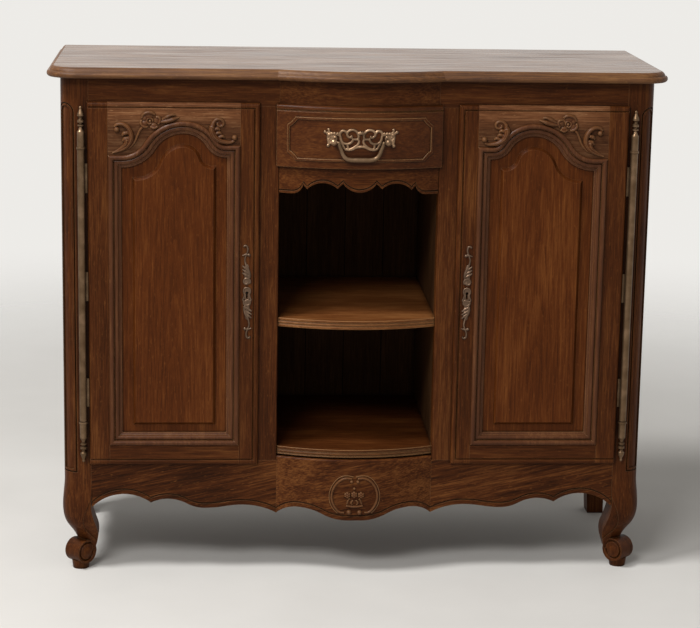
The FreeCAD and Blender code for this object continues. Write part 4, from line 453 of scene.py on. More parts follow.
def filed_steel():
    """Filed steel of the lock cases and bolts: grey, brushed along the bolt, brown with age in patches."""
    material, tree = new_material("filed_steel")
    place = add_node(tree, "ShaderNodeTexCoord", {}).outputs["Object"]
    along_bolt = add_node(tree, "ShaderNodeMapping", {
        "Vector": place, "Scale": (FILE_MARK_SQUEEZE, 1.0, 1.0)})
    file_marks = add_node(tree, "ShaderNodeTexNoise", {
        "Vector": along_bolt.outputs["Vector"], "Scale": 1 / FILE_MARK_WIDTH, "Detail": 3.0})
    age = add_node(tree, "ShaderNodeTexNoise", {
        "Vector": place, "Scale": 1 / STEEL_AGE_WIDTH, "Detail": 5.0, "Roughness": 0.7})
    metal = add_node(tree, "ShaderNodeValToRGB", {
        "Fac": age.outputs["Fac"]}, stops=tones_at(STEEL_STOPS, STEEL_TONES))
    rough = add_node(tree, "ShaderNodeMapRange", {
        "Value": age.outputs["Fac"], "From Min": STEEL_AGE[0], "From Max": STEEL_AGE[1],
        "To Min": STEEL_ROUGHNESS[0], "To Max": STEEL_ROUGHNESS[1]})
    relief = add_node(tree, "ShaderNodeBump", {
        "Height": file_marks.outputs["Fac"], "Strength": FILE_MARK_RELIEF, "Distance": FILE_MARK_DEPTH})
    shader = add_node(tree, "ShaderNodeBsdfPrincipled", {
        "Base Color": metal.outputs["Color"], "Roughness": rough.outputs["Result"], "Metallic": 1.0,
        "Normal": relief.outputs["Normal"]})
    add_node(tree, "ShaderNodeOutputMaterial", {"Surface": shader.outputs["BSDF"]})
    return material


FRAME_UPRIGHT = oak("waxed_oak_upright", FRAME_STAIN, "Z")
FRAME_LEVEL = oak("waxed_oak_level", FRAME_STAIN, "X")
FRAME_DEEP = oak("waxed_oak_front_to_back", FRAME_STAIN, "Y")
TOP_RAIL_OAK = oak("waxed_oak_pale_streaks", RAIL_STAIN_WITH_PAINTED_LIGHT, "X", darker_below=CARVED_HEIGHTS)
SHELF_OAK = oak("rubbed_shelf_oak_painted_lighter", SHELF_STAIN_WITH_PAINTED_LIGHT, "X", wear_and_highlight=1.7, edge=3.0)
NICHE_FLOOR_OAK = oak("rubbed_and_highlit_niche_floor_oak", FRAME_STAIN, "X", wear_and_highlight=1.7, edge=3.0)
APRON_OAK = oak("waxed_oak_slanting_grain", FRAME_STAIN, "X", figure=1.2, slant=-12.0)
MOULDED_OAK = oak("moulded_oak", MOULDING_STAIN_WITH_PAINTED_LIGHT, "Z", roughness=0.28, shine=0.14, figure=0.45,
                  wear_and_highlight=1.6, edge=1.5)
CARVED_OAK = oak("carved_oak", FRAME_STAIN, "X", roughness=0.34, shine=0.14, figure=0.5,
                 ridge_wear_and_highlight=0.6, hollow_reach=22)
PANEL_UPRIGHT = oak("waxed_panel_oak", PANEL_STAIN, "Z", roughness=0.38, figure=0.6,
                    hollow_reach=60, hearted=True)
DRAWER_FACE = oak("waxed_drawer_face_oak", FRAME_STAIN, "X", roughness=0.3, shine=0.1, figure=0.6,
                  wear_and_highlight=1.6, edge=1.6)
TOP_OAK = oak("polished_top_oak", TOP_STAIN, "X", roughness=0.5, shine=0.3, polished=True,
              boards=TOP_BOARDS)
INSIDE_UPRIGHT = oak("dark_inside_oak_upright", INSIDE_STAIN, "Z", roughness=0.6, shine=0.05, wear_and_highlight=0.3)
BACK_OAK = oak("dark_back_oak_boards", INSIDE_STAIN, "Z", roughness=0.6, shine=0.05, wear_and_highlight=0.3,
               boards=BACK_BOARDS)
INSIDE_LEVEL = oak("dark_inside_oak_level", INSIDE_STAIN, "X", roughness=0.6, shine=0.05, wear_and_highlight=0.3,
                   boards=SHELF_BOARDS)
DRAWER_LEVEL = oak("drawer_oak_level", DRAWER_WOOD, "X", roughness=0.62, wear_and_highlight=0.3)
DRAWER_DEEP = oak("drawer_oak_front_to_back", DRAWER_WOOD, "Y", roughness=0.62, wear_and_highlight=0.3)
DULL_BRASS = aged_brass("dull_cast_brass", DULL_TONES)
WORN_BRASS = aged_brass("worn_escutcheon_brass", WORN_TONES)
RUBBED_BRASS = aged_brass("hand_rubbed_brass", RUBBED_TONES)
STEEL = filed_steel()

# Which nodes have which finish, by their names without a side
FINISHES = (
    (TOP_OAK, ("top_board",)),
    (PANEL_UPRIGHT, ("door_panel", "side_panel")),
    (DRAWER_FACE, ("drawer_front",)),
    (FRAME_UPRIGHT, ("front_post", "back_post", "inner_stile", "door_hinge_stile", "door_lock_stile")),
    (MOULDED_OAK, ("door_panel_moulding",)),
    (TOP_RAIL_OAK, ("door_top_rail",)),
    (SHELF_OAK, ("niche_shelf",)),
    (NICHE_FLOOR_OAK, ("niche_floor",)),
    (APRON_OAK, ("apron", "centre_apron")),
    (FRAME_DEEP, ("side_rails",)),
    (INSIDE_UPRIGHT, ("partition",)),
    (BACK_OAK, ("back_panels",)),
    (INSIDE_LEVEL, ("cupboard_floors", "cupboard_shelves", "niche_ceiling", "back_rails")),
    (DRAWER_LEVEL, ("drawer_back", "drawer_bottom")),
    (DRAWER_DEEP, ("drawer_sides", "drawer_runners", "shelf_cleats")),
    (DULL_BRASS, ("hinge_pins", "hinge_knuckles", "hinge_barrel", "escutcheon", "drawer_bail")),
    (RUBBED_BRASS, ("pull_plate", "pull_posts")),
    (STEEL, ("lock_case", "lock_bolt")),
)


def finish_of(node):
    """The finish of a CAD node. A rail that isn't listed is level waxed oak."""
    part = node.removeprefix("left_").removeprefix("right_")
    for material, names in FINISHES:
        if part in names:
            return material
    return FRAME_LEVEL


for node_name, node_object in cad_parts.items():
    node_object.data.materials.clear()
    node_object.data.materials.append(finish_of(node_name))


# Carving and castings: each point of a stroke is across, up and radius in millimetres on its face
HINGE_SCROLL = [
    [(-498, 886.5, 1.4), (-486.5, 890.3, 2.4), (-475.8, 895, 3.2), (-466.1, 903.4, 4), (-460.5, 914.3, 4.6),
     (-460.5, 925.2, 4.5), (-464.6, 935, 4.1), (-471.9, 942.3, 3.7), (-480.7, 945.2, 3.3),
     (-488.4, 943.7, 2.9), (-493.6, 939.3, 2.4)],
    [(-467, 928, 3.4), (-474, 926, 3.8), (-478.5, 921.5, 2)],
    [(-465, 917, 3.6), (-472.5, 915, 3.9), (-477.5, 910.4, 2)],
    [(-468.5, 914.2, 4.6), (-471, 904.3, 4.3), (-478, 898.3, 2.9), (-487, 891.9, 2), (-497.1, 886.8, 1.2)],
]
HINGE_SCROLL_KNOBS = [(-488.8, 933.8, 5.8)]
FLOWER_STEM = [(-470, 893.2, 1.6), (-460.3, 900.5, 2.3), (-452.5, 910.4, 2.8), (-447.7, 921.3, 2.8),
               (-442.8, 932.3, 2.8), (-435.4, 941.8, 2.8)]
PETAL_RIMS = [
    [(-438.5, 957.5, 2.3), (-436, 964, 3.1), (-428.5, 968.2, 3.4), (-419.5, 968.6, 3.4),
     (-412.6, 964.5, 2.4)],
    [(-410.5, 960, 2.2), (-404.2, 958.4, 3), (-402.4, 951.8, 3.1), (-405.8, 945.6, 2.3)],
    [(-421.5, 940.5, 2.2), (-414.5, 937.6, 3.1), (-407.2, 940.6, 2.4)],
    [(-439.6, 953.5, 2.2), (-440.4, 946.6, 3), (-434.6, 940.6, 3.1), (-427.4, 939.2, 2.2)],
]
PETALS = [(-425, 962, 9, 6), (-408.5, 953, 6, 6.5), (-414.5, 942.5, 6.5, 5), (-433, 946.5, 6.5, 6),
          (-433, 957, 5.5, 5.5)]
PETAL_RISE = 2.5
FLOWER_HEART = [(-416.4, 950.8, 1.8), (-419.4, 956.8, 2.3), (-425.8, 957, 2.4), (-428.8, 951.4, 2.4),
                (-425, 946.2, 2.3), (-419.6, 947.4, 1.9)]
FLOWER_EYE = (-422.4, 951.6, 2.9)
BUD = [
    [(-402, 949.6, 3), (-390, 951.4, 5), (-377, 955, 5), (-364, 959.6, 1.6)],
    [(-398, 954.4, 3), (-388, 960.4, 4.6), (-377.6, 964.4, 3.4), (-371, 964, 1.8)],
]
LOCK_SCROLL = [
    [(-297.6, 942, 5), (-298.8, 935.2, 5.4), (-296.6, 927, 5.5), (-291.4, 918.9, 5.2), (-282.8, 913.2, 4.6),
     (-272, 910.3, 3.8), (-260.4, 910, 3), (-253.6, 913.3, 2.5)],
    [(-297.6, 942, 4.4), (-294, 951.4, 3.2), (-286, 956.4, 2.9), (-277.4, 953.4, 2.7), (-275.4, 947, 2.5),
     (-280.4, 942.4, 2.3), (-286.6, 944.4, 2.2), (-287, 949, 1.8)],
    [(-294, 935.4, 3.4), (-287, 937.2, 3.4), (-282.4, 934.4, 1.9)],
    [(-291, 926.8, 3.4), (-283.8, 928.8, 3.4), (-279.2, 925.8, 1.8)],
    [(-285, 919.4, 3.2), (-277.4, 921.8, 3.2), (-273, 919, 1.7)],
]
LOCK_SCROLL_HEAD = (-286, 948.6, 10, 7.6, 1.4)
LOCK_SCROLL_KNOBS = [(-252.8, 919.2, 5.8)]
BAND = [(-6.5, 211.7, 1.7), (-18.5, 212.4, 1.8), (-29.5, 208, 1.8), (-39.5, 198, 1.8), (-45.8, 185, 1.8),
        (-47.6, 174, 1.8), (-45.4, 160, 1.8), (-39.3, 148, 1.8), (-30.8, 139.5, 1.7), (-21.5, 138.2, 1.4)]
OUTER_LIP = [(-2.6, 215.6, 1.1), (-17, 218, 1.1), (-31, 214.4, 1), (-43, 202.4, 1), (-50.6, 187, 1),
             (-52.8, 174, 1), (-50.4, 157.7, 1), (-43.5, 145.1, 1), (-35.1, 136.8, 0.9)]
BASKET = [
    [(-17, 153, 1.6), (0, 151.4, 2.4), (17, 153, 1.6)],
    [(-15.4, 156.4, 1.2), (-14, 163.4, 1.8), (-10.4, 169.4, 1.6)],
    [(15, 156.4, 1.2), (13, 163, 1.8), (9.4, 168.6, 1.6)],
    [(-5, 155.4, 1.4), (-6.6, 160.4, 2.2), (-3.4, 165.6, 1.6)],
    [(4.6, 155.4, 1.4), (6.4, 160.4, 2.2), (3, 165.6, 1.6)],
]
BASKET_FLOWERS = [(-15, 176.5), (-0.8, 177.5), (13.4, 176.5)]
PETALS_ROUND = 6
PETAL_REACH = 3.9
PETAL_SIZE = 3.3
FLOWER_EYE_SIZE = 3.7
MEDALLION_KNOBS = [(-6.6, 205.5, 3.6), (6.6, 205, 3.6), (-11.4, 139.4, 5.4), (10.6, 139, 5.2),
                   (-0.8, 190.4, 2.8)]
PULL_SCROLLS = [
    [(-6, 5.5, 1.3), (-5.6, 14, 1.4), (-8.4, 19.8, 1.4), (-13.6, 23.5, 1.4), (-19.6, 24.2, 1.4),
     (-25.2, 21.8, 1.4), (-28.2, 16.4, 1.4), (-26.4, 11.2, 1.4), (-21.6, 9.2, 1.5), (-17.4, 10.8, 2.1)],
    [(-6, 5.5, 1.3), (-4.4, 1.3, 1.4), (-6.9, -4.8, 1.4), (-11.4, -9.1, 1.4), (-17.4, -12.9, 1.4),
     (-25.2, -15.1, 1.4), (-32.5, -14.4, 1.3)],
    [(-17.4, 5.5, 1.3), (-11.4, 5.3, 1.3), (-5.8, 5.5, 1.3)],
    [(-16.2, 6.5, 1.3), (-18.4, 0.7, 1.4), (-23.4, -3.2, 1.4), (-29.4, -4, 1.4), (-36.1, -2, 1.3),
     (-39.7, 3.1, 1.3), (-41.5, 9.2, 1.4), (-42.7, 15.2, 1.4), (-40.9, 19.8, 1.4), (-36.7, 22.3, 1.5),
     (-31.9, 21.3, 1.4), (-28.8, 17.4, 1.3)],
    [(-27.5, -4, 1.3), (-26.3, -14.6, 1.3)],
    [(-41.5, 6.7, 1.4), (-39.3, -1.2, 1.4), (-35.5, -9.1, 1.4), (-32.5, -14.4, 1.3)],
    [(-32.5, -15.1, 1.3), (-25.2, -16.1, 1.3), (-17.4, -14.6, 1.4), (-9.6, -11, 1.5), (0, -9.1, 1.6)],
    [(-6, 17, 1.9), (0, 18.4, 2.2)],
    [(-65.5, 24.3, 1.2), (-64.3, 17.6, 1.4)],
    [(-72.5, 19.6, 1.2), (-66.7, 16.4, 1.4)],
    [(-66, -7.8, 1.3), (-64.1, -3, 1.4), (-62.9, 3.1, 1.6)],
    [(-58.3, -0.3, 1.4), (-52.3, -2, 1.3), (-46.3, -0.6, 1.2)],
]
PULL_KNOBS = [(-65.5, 24.3, 2.6), (-72.5, 19.6, 2.9), (-66, -7.8, 3.3), (-64.1, 13.8, 3.9),
              (-58.3, 16.2, 3.3), (-52.9, 16.7, 2.9), (-46.9, 16.7, 2.6), (-65.5, 4.5, 3.3),
              (-62.1, 9.2, 3), (-58.3, -0.3, 2.4), (-52.3, 8.7, 3.2)]
LEAFY_ENDS = [
    [(-70, 16, 2), (-62, 17, 3.2), (-52, 15.4, 3), (-43, 12.6, 2)],
    [(-66, -5, 2), (-60, -2, 3), (-52, -3, 2.6), (-44, 0, 1.8)],
    [(-67, 14, 2.4), (-66, 5, 3.2), (-65, -4, 2.4)],
]
LEAFY_END_BOSS = (-57, 6.5, 9.5, 9.5, 2.8)
BAIL_HALF = [(-54.5, 0, 2), (-49.5, 0, 2), (-45.4, -0.8, 3.3), (-44.2, -5.5, 3.6), (-40.4, -15, 3.9),
             (-36.4, -25, 4.3), (-30.4, -32, 4.6), (-20.4, -35, 4.9), (-8, -35.4, 5.2)]

# The upper half of the left door's long escutcheon, from its keyhole: hook, ear, neck, leaf and roll
PLATE_STROKES = [
    [(-7.4, 95.4, 2), (-4.6, 98, 2.2), (-1, 97.4, 2.2), (1, 92.6, 2.1), (0.8, 86.6, 1.9), (-1.4, 80, 1.8)],
    [(3.8, 79.2, 2.4), (-2.5, 79.8, 2.2), (-9.6, 77.6, 1.3)],
    [(-1.8, 79.4, 1.8), (-4.6, 70.5, 1.7), (-3.6, 61.6, 1.9)],
    [(-3.6, 61.6, 2), (-1.6, 56.5, 2.5), (2.8, 47.6, 2.9), (5.2, 38, 3), (4.6, 31, 2.6)],
    [(1, 47.6, 2.2), (-4.6, 52.4, 2.7), (-9.6, 56.6, 1.3)],
    [(3, 41, 2.4), (-3.6, 45, 2.9), (-9.8, 49, 1.3)],
    [(4, 34, 2.6), (-2.6, 37.4, 3.2), (-9.8, 42.2, 1.4)],
    [(5.8, 19.6, 2), (6.4, 26, 2.2), (0.6, 30, 2.3), (-5.6, 27.4, 2.2), (-6.2, 21.6, 2.1),
     (-1.6, 18.6, 1.9), (1.8, 22.4, 2)],
]
PLATE_BALL = (3.8, 79, 3.4)
PLATE_GROUND = [(0, 38, 5.5, 22, 1.2), (0, 24, 6.6, 6.6, 1.4)]
PLATE_TURN = 4.0
KEYHOLE_FRAME = [(0, 11.5, 1.9), (5.6, 8.6, 1.9), (6.9, 2.6, 1.9), (5, -3.6, 1.8), (6.6, -10.4, 1.9),
                 (8, -15.4, 2), (0, -17, 2.1), (-8, -15.4, 2), (-6.6, -10.4, 1.9), (-5, -3.6, 1.8),
                 (-6.9, 2.6, 1.9), (-5.6, 8.6, 1.9), (0, 11.5, 1.9)]
KEYHOLE_GROUND = (0, -3.4, 6.6, 14.5, 1.1)
KEYHOLE_ROUND = 3.2
KEYHOLE_SLOT = (4.0, 12.0)
CUTTER_DEPTH = 20

# How much fuller than their strokes the parts of the carving and castings are made
SCROLL_FULLNESS = 1.3
PETAL_RIM_FULLNESS = 1.15
BAND_FULLNESS = 1.45
LIP_FULLNESS = 1.05
BASKET_FULLNESS = 1.25
PULL_FULLNESS = 2.0
PULL_KNOB_FULLNESS = 1.15

# Each relief: its depth as a share of its strokes', the cells of its skin, and rounds of smoothing
DOOR_RELIEF = (1.3, 0.7 * MM, 2)
MEDALLION_RELIEF = (1.25, 0.5 * MM, 1)
PULL_RELIEF = (0.85, 0.45 * MM, 1)
BAIL_RELIEF = (0.85, 0.45 * MM, 1)
PLATE_RELIEF = (0.85, 0.4 * MM, 1)


def start_clean():
    """Nothing selected, so that an operator touches only what is added or picked next."""
    bpy.ops.object.select_all(action="DESELECT")


def pick(piece):
    """Selects one piece alone."""
    start_clean()
    piece.select_set(True)
    bpy.context.view_layer.objects.active = piece


def apply_modifier(piece, kind, **settings):
    """Gives a piece one modifier with its settings, and applies it."""
    modifier = piece.modifiers.new(kind.lower(), kind)
    for name, value in settings.items():
        setattr(modifier, name, value)
    bpy.context.view_layer.objects.active = piece
    bpy.ops.object.modifier_apply(modifier=modifier.name)


def cut_away(piece, cutter):
    """Cuts the shape of a cutter out of a piece, and removes the cutter."""
    apply_modifier(piece, "BOOLEAN", operation="DIFFERENCE", object=cutter, solver="EXACT")
    bpy.data.objects.remove(cutter)


def joined(name, parts):
    """One mesh of several parts, with their places in it."""
    start_clean()
    for part in parts:
        part.select_set(True)
    bpy.context.view_layer.objects.active = parts[0]
    bpy.ops.object.transform_apply(location=True, rotation=True, scale=True)
    bpy.ops.object.join()
    piece = bpy.context.object
    piece.name = name
    piece.data.name = name
    return piece


def drawn_rod(stroke):
    """A round rod along a drawn line, as thick at each point as the stroke says."""
    start_clean()
    bpy.ops.curve.primitive_bezier_curve_add()
    rod = bpy.context.object
    rod.data.bevel_depth = MM
    rod.data.bevel_resolution = 3
    rod.data.resolution_u = 6
    rod.data.use_fill_caps = True
    points = rod.data.splines[0].bezier_points
    points.add(len(stroke) - 2)
    for point, (across, up, radius) in zip(points, stroke):
        point.co = Vector((across, 0, up)) * MM
        point.radius = radius
        point.handle_left_type = "AUTO"
        point.handle_right_type = "AUTO"
    bpy.ops.object.convert(target="MESH")
    return bpy.context.object


def drawn_knob(knob):
    """A round lump at one point: a bead, a berry or the eye of a scroll."""
    across, up, radius = knob
    start_clean()
    bpy.ops.mesh.primitive_uv_sphere_add(
        segments=20, ring_count=12, radius=radius * MM, location=Vector((across, 0, up)) * MM)
    return bpy.context.object


def flat_boss(across, up, half_width, half_height, rise):
    """A low domed ground for a flower or a plate."""
    start_clean()
    bpy.ops.mesh.primitive_uv_sphere_add(
        segments=40, ring_count=20, radius=1.0, location=Vector((across, 0, up)) * MM)
    boss = bpy.context.object
    boss.scale = Vector((half_width, rise, half_height)) * MM
    return boss


def grown_together(name, lumps, depth, voxel, softening):
    """One relief from its lumps: joined, pressed to its depth, made a single skin and rubbed smooth."""
    piece = joined(name, lumps)
    bpy.ops.object.mode_set(mode="EDIT")
    bpy.ops.mesh.select_all(action="SELECT")
    bpy.ops.transform.resize(value=(1, depth, 1), center_override=(0, 0, 0))
    bpy.ops.object.mode_set(mode="OBJECT")
    apply_modifier(piece, "REMESH", mode="VOXEL", voxel_size=voxel)
    apply_modifier(piece, "SMOOTH", factor=0.5, iterations=softening)
    bpy.ops.object.shade_smooth()
    return piece


def shift_mesh(piece, offset):
    """Moves a piece's mesh by millimetres, and leaves the object where it is."""
    pick(piece)
    bpy.ops.object.mode_set(mode="EDIT")
    bpy.ops.mesh.select_all(action="SELECT")
    bpy.ops.transform.translate(value=Vector(offset) * MM)
    bpy.ops.object.mode_set(mode="OBJECT")


def mirrored_twin(piece, name):
    """The same piece for the other side, with a mesh of its own."""
    pick(piece)
    bpy.ops.object.duplicate()
    twin = bpy.context.object
    twin.name = name
    twin.data.name = name
    bpy.ops.object.mode_set(mode="EDIT")
    bpy.ops.mesh.select_all(action="SELECT")
    bpy.ops.transform.resize(value=(-1, 1, 1), center_override=(0, 0, 0))
    bpy.ops.mesh.normals_make_consistent(inside=False)
    bpy.ops.object.mode_set(mode="OBJECT")
    return twin


def bend_to_bow(piece, radius):
    """Wraps a piece that was laid flat on Y = 0 round the bowed front."""
    for vertex in piece.data.vertices:
        x, y, z = vertex.co
        turn = x / (radius * MM)
        reach = radius * MM - y
        vertex.co = (reach * math.sin(turn), BOW_CENTRE * MM - reach * math.cos(turn), z)


def thickened(strokes, factor):
    """The strokes with every radius multiplied."""
    return [[(across, up, radius * factor) for across, up, radius in stroke] for stroke in strokes]


def half_turned(strokes):
    """The strokes of the escutcheon's lower half, which is its upper half turned round."""
    return [[(-across, PLATE_TURN - up, radius) for across, up, radius in stroke] for stroke in strokes]


def other_half(strokes):
    """The strokes mirrored in the middle of the piece."""
    return [[(-across, up, radius) for across, up, radius in stroke] for stroke in strokes]


def dress(piece, material, body):
    """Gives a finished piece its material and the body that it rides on."""
    piece.data.materials.clear()
    piece.data.materials.append(material)
    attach(piece, body)


def door_carving():
    """The scrolls, the flower and the bud over the left door's arch, and their mirror image."""
    scrolls = thickened(HINGE_SCROLL + LOCK_SCROLL, SCROLL_FULLNESS)
    rims = thickened(PETAL_RIMS, PETAL_RIM_FULLNESS)
    lumps = [drawn_rod(stroke) for stroke in scrolls + rims + BUD]
    lumps += [drawn_rod(FLOWER_STEM), drawn_rod(FLOWER_HEART), drawn_knob(FLOWER_EYE)]
    lumps += [drawn_knob(knob) for knob in HINGE_SCROLL_KNOBS + LOCK_SCROLL_KNOBS]
    lumps += [flat_boss(*petal, PETAL_RISE) for petal in PETALS]
    lumps.append(flat_boss(*LOCK_SCROLL_HEAD))
    left = grown_together("left_door_carving", lumps, *DOOR_RELIEF)
    shift_mesh(left, (0, DOOR_FACE, 0))
    right = mirrored_twin(left, "right_door_carving")
    dress(left, CARVED_OAK, "left_door")
    dress(right, CARVED_OAK, "right_door")


def rosette(across, up):
    """A ring of petals round an eye, the first one upright."""
    knobs = [(across, up, FLOWER_EYE_SIZE)]
    for petal in range(PETALS_ROUND):
        angle = math.radians(90 + 360 / PETALS_ROUND * petal)
        petal_across = across + PETAL_REACH * math.cos(angle)
        petal_up = up + PETAL_REACH * math.sin(angle)
        knobs.append((petal_across, petal_up, PETAL_SIZE))
    return knobs


def apron_medallion():
    """Two raised cords that close round a basket of flowers, on the bowed middle of the apron."""
    cords = thickened([BAND], BAND_FULLNESS) + thickened([OUTER_LIP], LIP_FULLNESS)
    strokes = cords + other_half(cords) + thickened(BASKET, BASKET_FULLNESS)
    lumps = [drawn_rod(stroke) for stroke in strokes]
    lumps += [drawn_knob(knob) for knob in MEDALLION_KNOBS]
    for across, up in BASKET_FLOWERS:
        lumps += [drawn_knob(knob) for knob in rosette(across, up)]
    piece = grown_together("apron_medallion", lumps, *MEDALLION_RELIEF)
    bend_to_bow(piece, APRON_RADIUS)
    dress(piece, CARVED_OAK, "carcass")


def drawer_pull_plate():
    """The pierced casting behind the bail: ring scrolls, two bars and leafy ends."""
    scrolls = thickened(PULL_SCROLLS, PULL_FULLNESS) + LEAFY_ENDS
    lumps = [drawn_rod(stroke) for stroke in scrolls + other_half(scrolls)]
    across, *rest = LEAFY_END_BOSS
    lumps += [flat_boss(across, *rest), flat_boss(-across, *rest)]
    for across, up, radius in PULL_KNOBS:
        fuller = radius * PULL_KNOB_FULLNESS
        lumps += [drawn_knob((across, up, fuller)), drawn_knob((-across, up, fuller))]
    piece = grown_together("pull_casting", lumps, *PULL_RELIEF)
    shift_mesh(piece, (0, -PULL_STAND_OFF, PULL_MIDDLE))
    bend_to_bow(piece, DRAWER_RADIUS)
    dress(piece, RUBBED_BRASS, "drawer")
    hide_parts("pull_plate")


def drop_handle():
    """The cast bail that hangs in the pull's posts, fullest where a hand takes it."""
    right_half = [(-across, up, radius) for across, up, radius in reversed(BAIL_HALF)]
    piece = grown_together("bail_casting", [drawn_rod(BAIL_HALF + right_half)], *BAIL_RELIEF)
    shift_mesh(piece, (0, BAIL_HINGE, PULL_MIDDLE))
    dress(piece, DULL_BRASS, "bail")
    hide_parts("drawer_bail")


def cut_keyhole(plate):
    """A round hole at the origin, and a slot that runs down from its middle."""
    start_clean()
    bpy.ops.mesh.primitive_cylinder_add(
        vertices=32, radius=KEYHOLE_ROUND * MM, depth=CUTTER_DEPTH * MM, rotation=(math.pi / 2, 0, 0))
    cut_away(plate, bpy.context.object)
    width, height = KEYHOLE_SLOT
    bpy.ops.mesh.primitive_cube_add(size=1.0, location=(0, 0, -height / 2 * MM))
    slot_hole = bpy.context.object
    slot_hole.scale = Vector((width, CUTTER_DEPTH, height)) * MM
    cut_away(plate, slot_hole)


def escutcheons():
    """Long castings: hooks and ears at the ends, leaf rolls, and a keyhole in the middle."""
    lumps = [drawn_rod(stroke) for stroke in PLATE_STROKES + half_turned(PLATE_STROKES)]
    across, up, radius = PLATE_BALL
    lumps += [drawn_knob(PLATE_BALL), drawn_knob((-across, PLATE_TURN - up, radius))]
    for across, up, *size in PLATE_GROUND:
        lumps += [flat_boss(across, up, *size), flat_boss(-across, PLATE_TURN - up, *size)]
    lumps += [drawn_rod(KEYHOLE_FRAME), flat_boss(*KEYHOLE_GROUND)]
    left = grown_together("left_escutcheon_casting", lumps, *PLATE_RELIEF)
    cut_keyhole(left)
    shift_mesh(left, (LOCK_X, DOOR_FACE - PLATE_STAND_OFF, LOCK_HEIGHT))
    right = mirrored_twin(left, "right_escutcheon_casting")
    for side, piece in (("left", left), ("right", right)):
        dress(piece, WORN_BRASS, side + "_door")
        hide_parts(side + "_escutcheon")


def slotted_screw():
    """One countersunk screw head that faces the back, with its slot, at the origin."""
    start_clean()
    bpy.ops.mesh.primitive_cylinder_add(
        vertices=24, radius=SCREW_HEAD * MM, depth=2 * SCREW_RISE * MM, rotation=(math.pi / 2, 0, 0))
    screw = bpy.context.object
    bpy.ops.object.transform_apply(rotation=True)
    apply_modifier(screw, "BEVEL", width=SCREW_ROUNDING * SCREW_RISE * MM, segments=2, limit_method="ANGLE")
    start_clean()
    bpy.ops.mesh.primitive_cube_add(
        size=1.0, location=(0, SCREW_RISE * MM, 0), rotation=(0, SLOT_TURN, 0))
    slot = bpy.context.object
    slot.scale = (SLOT_LENGTH * SCREW_HEAD * MM, SCREW_RISE * MM, SLOT_WIDTH * SCREW_HEAD * MM)
    cut_away(screw, slot)
    return screw


def nail_head():
    """One low domed nail head that faces the back, at the origin."""
    start_clean()
    bpy.ops.mesh.primitive_cylinder_add(
        vertices=12, radius=NAIL_HEAD * MM, depth=2 * NAIL_RISE * MM, rotation=(math.pi / 2, 0, 0))
    nail = bpy.context.object
    bpy.ops.object.transform_apply(rotation=True)
    apply_modifier(nail, "BEVEL", width=NAIL_ROUNDING * NAIL_RISE * MM, segments=2, limit_method="ANGLE")
    return nail


def set_of(name, pattern, places):
    """Copies of one small piece at the given places, as one mesh."""
    copies = []
    for place in places:
        copy = pattern.copy()
        copy.data = pattern.data.copy()
        copy.location = place
        bpy.context.scene.collection.objects.link(copy)
        copies.append(copy)
    bpy.data.objects.remove(pattern)
    piece = joined(name, copies)
    bpy.ops.object.shade_smooth_by_angle(angle=CREASE_ANGLE)
    return piece


def lock_screws():
    """Four screws in the back of each lock case."""
    for side in ("left", "right"):
        low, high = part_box(side + "_lock_case")
        inset = SCREW_INSET * MM
        places = [(x, high[1], z) for x in (low[0] + inset, high[0] - inset)
                  for z in (low[2] + inset, high[2] - inset)]
        piece = set_of(side + "_lock_screws", slotted_screw(), places)
        dress(piece, STEEL, side + "_door")


def back_nails():
    """Nails along the upright edges of the back."""
    low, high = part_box("back_panels")
    places = []
    for row in range(NAIL_ROWS):
        height = low[2] + (high[2] - low[2]) * (row + 0.5) / NAIL_ROWS
        for edge in (low[0], high[0]):
            inwards = NAIL_INSET * MM if edge < 0 else -NAIL_INSET * MM
            places.append((edge + inwards, high[1], height))
    piece = set_of("back_nails", nail_head(), places)
    dress(piece, STEEL, "carcass")


door_carving()
apron_medallion()
drawer_pull_plate()
drop_handle()
escutcheons()
lock_screws()
back_nails()

# Floor, surroundings and camera: metres and degrees, and the lens in millimetres
FLOOR_RADIUS = 4.5
FLOOR_FADE = (1.0, 3.6)
FLOOR_TINTS = ("#cfccc7", "#d6d3ce")
MOTTLE_STOPS = (0.3, 0.7)
MOTTLES_PER_METRE = 3.0
FLOOR_ROUGHNESS = 0.7
WORLD_TINT = "#f6f4f0"
WORLD_LIGHT = 0.3
WORLD_SEEN = 0.92
SENSOR_WIDTH = 36.0
LENS = 113.83
CAMERA_PLACE = Vector((-305.6, -4626.3, 1540.1)) * MM
CAMERA_YAW = -3.764
CAMERA_PITCH = -12.494
CAMERA_ROLL = -0.980
CAMERA_SEES = 60.0


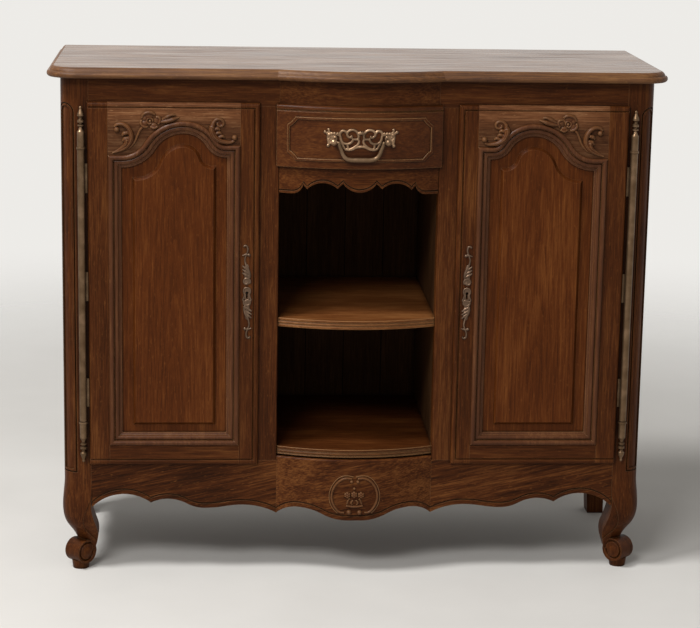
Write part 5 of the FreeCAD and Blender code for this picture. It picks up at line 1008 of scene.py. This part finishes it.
def pale_stage():
    """A pale matt floor that keeps the shadow and fades into the surroundings far from the piece."""
    start_clean()
    bpy.ops.mesh.primitive_circle_add(vertices=96, radius=FLOOR_RADIUS, fill_type="NGON")
    floor = bpy.context.object
    floor.name = "floor"
    material, tree = new_material("pale_matt_floor")
    place = add_node(tree, "ShaderNodeTexCoord", {}).outputs["Object"]
    mottle = add_node(tree, "ShaderNodeTexNoise", {
        "Vector": place, "Scale": MOTTLES_PER_METRE, "Detail": 4.0})
    tint = add_node(tree, "ShaderNodeValToRGB", {
        "Fac": mottle.outputs["Fac"]}, stops=tones_at(MOTTLE_STOPS, FLOOR_TINTS))
    matt = add_node(tree, "ShaderNodeBsdfPrincipled", {
        "Base Color": tint.outputs["Color"], "Roughness": FLOOR_ROUGHNESS})
    clear = add_node(tree, "ShaderNodeBsdfTransparent", {})
    away = add_node(tree, "ShaderNodeVectorMath", {0: place}, operation="LENGTH")
    fade = add_node(tree, "ShaderNodeMapRange", {
        "Value": away.outputs["Value"], "From Min": FLOOR_FADE[0], "From Max": FLOOR_FADE[1]},
        interpolation_type="SMOOTHSTEP")
    mixed = add_node(tree, "ShaderNodeMixShader", {
        "Fac": fade.outputs["Result"], 1: matt.outputs["BSDF"], 2: clear.outputs["BSDF"]})
    add_node(tree, "ShaderNodeOutputMaterial", {"Surface": mixed.outputs["Shader"]})
    floor.data.materials.append(material)


def soft_lamp(name, place, aim, size, power):
    """A broad lamp, in metres and watts, that the camera doesn't see."""
    light = bpy.data.lights.new(name, "AREA")
    light.shape = "RECTANGLE"
    light.size, light.size_y = size
    light.energy = power
    lamp = bpy.data.objects.new(name, light)
    lamp.location = place
    lamp.rotation_euler = (Vector(aim) - Vector(place)).to_track_quat("-Z", "Y").to_euler()
    lamp.visible_camera = False
    bpy.context.scene.collection.objects.link(lamp)


def pale_world():
    """Even pale surroundings, brighter where the camera, gloss or glass sees them than as light."""
    world = bpy.data.worlds.new("studio")
    bpy.context.scene.world = world
    world.use_nodes = True
    tree = world.node_tree
    tree.nodes.clear()
    path = add_node(tree, "ShaderNodeLightPath", {})
    seen = add_node(tree, "ShaderNodeMath", {
        0: path.outputs["Is Camera Ray"], 1: path.outputs["Is Transmission Ray"]}, operation="MAXIMUM")
    seen_or_gloss = add_node(tree, "ShaderNodeMath", {
        0: seen.outputs[0], 1: path.outputs["Is Glossy Ray"]}, operation="MAXIMUM")
    strength = add_node(tree, "ShaderNodeMapRange", {
        "Value": seen_or_gloss.outputs[0], "To Min": WORLD_LIGHT, "To Max": WORLD_SEEN})
    ambient = add_node(tree, "ShaderNodeBackground", {
        "Color": linear(WORLD_TINT), "Strength": strength.outputs["Result"]})
    add_node(tree, "ShaderNodeOutputWorld", {"Surface": ambient.outputs["Background"]})


def photo_camera():
    """The photograph's viewpoint, from in front and a little to the left, with a long lens and no shift."""
    camera = bpy.data.cameras.new("camera")
    camera.sensor_width = SENSOR_WIDTH
    camera.lens = LENS
    camera.clip_end = CAMERA_SEES
    holder = bpy.data.objects.new("camera", camera)
    holder.location = CAMERA_PLACE
    turn = (Matrix.Rotation(math.radians(CAMERA_YAW), 3, "Z")
            @ Matrix.Rotation(math.pi / 2 + math.radians(CAMERA_PITCH), 3, "X")
            @ Matrix.Rotation(-math.radians(CAMERA_ROLL), 3, "Z"))
    holder.rotation_euler = turn.to_euler()
    bpy.context.scene.collection.objects.link(holder)
    bpy.context.scene.camera = holder


pale_stage()
soft_lamp("key", place=(-2.3, -1.5, 4.6), aim=(0.0, -0.2, 0.6), size=(1.3, 0.9), power=195.0)
soft_lamp("front", place=(-1.5, -3.3, 3.3), aim=(0.0, 0.0, 0.6), size=(1.6, 1.0), power=90.0)
pale_world()
photo_camera()
bpy.context.scene.view_settings.view_transform = "Standard"
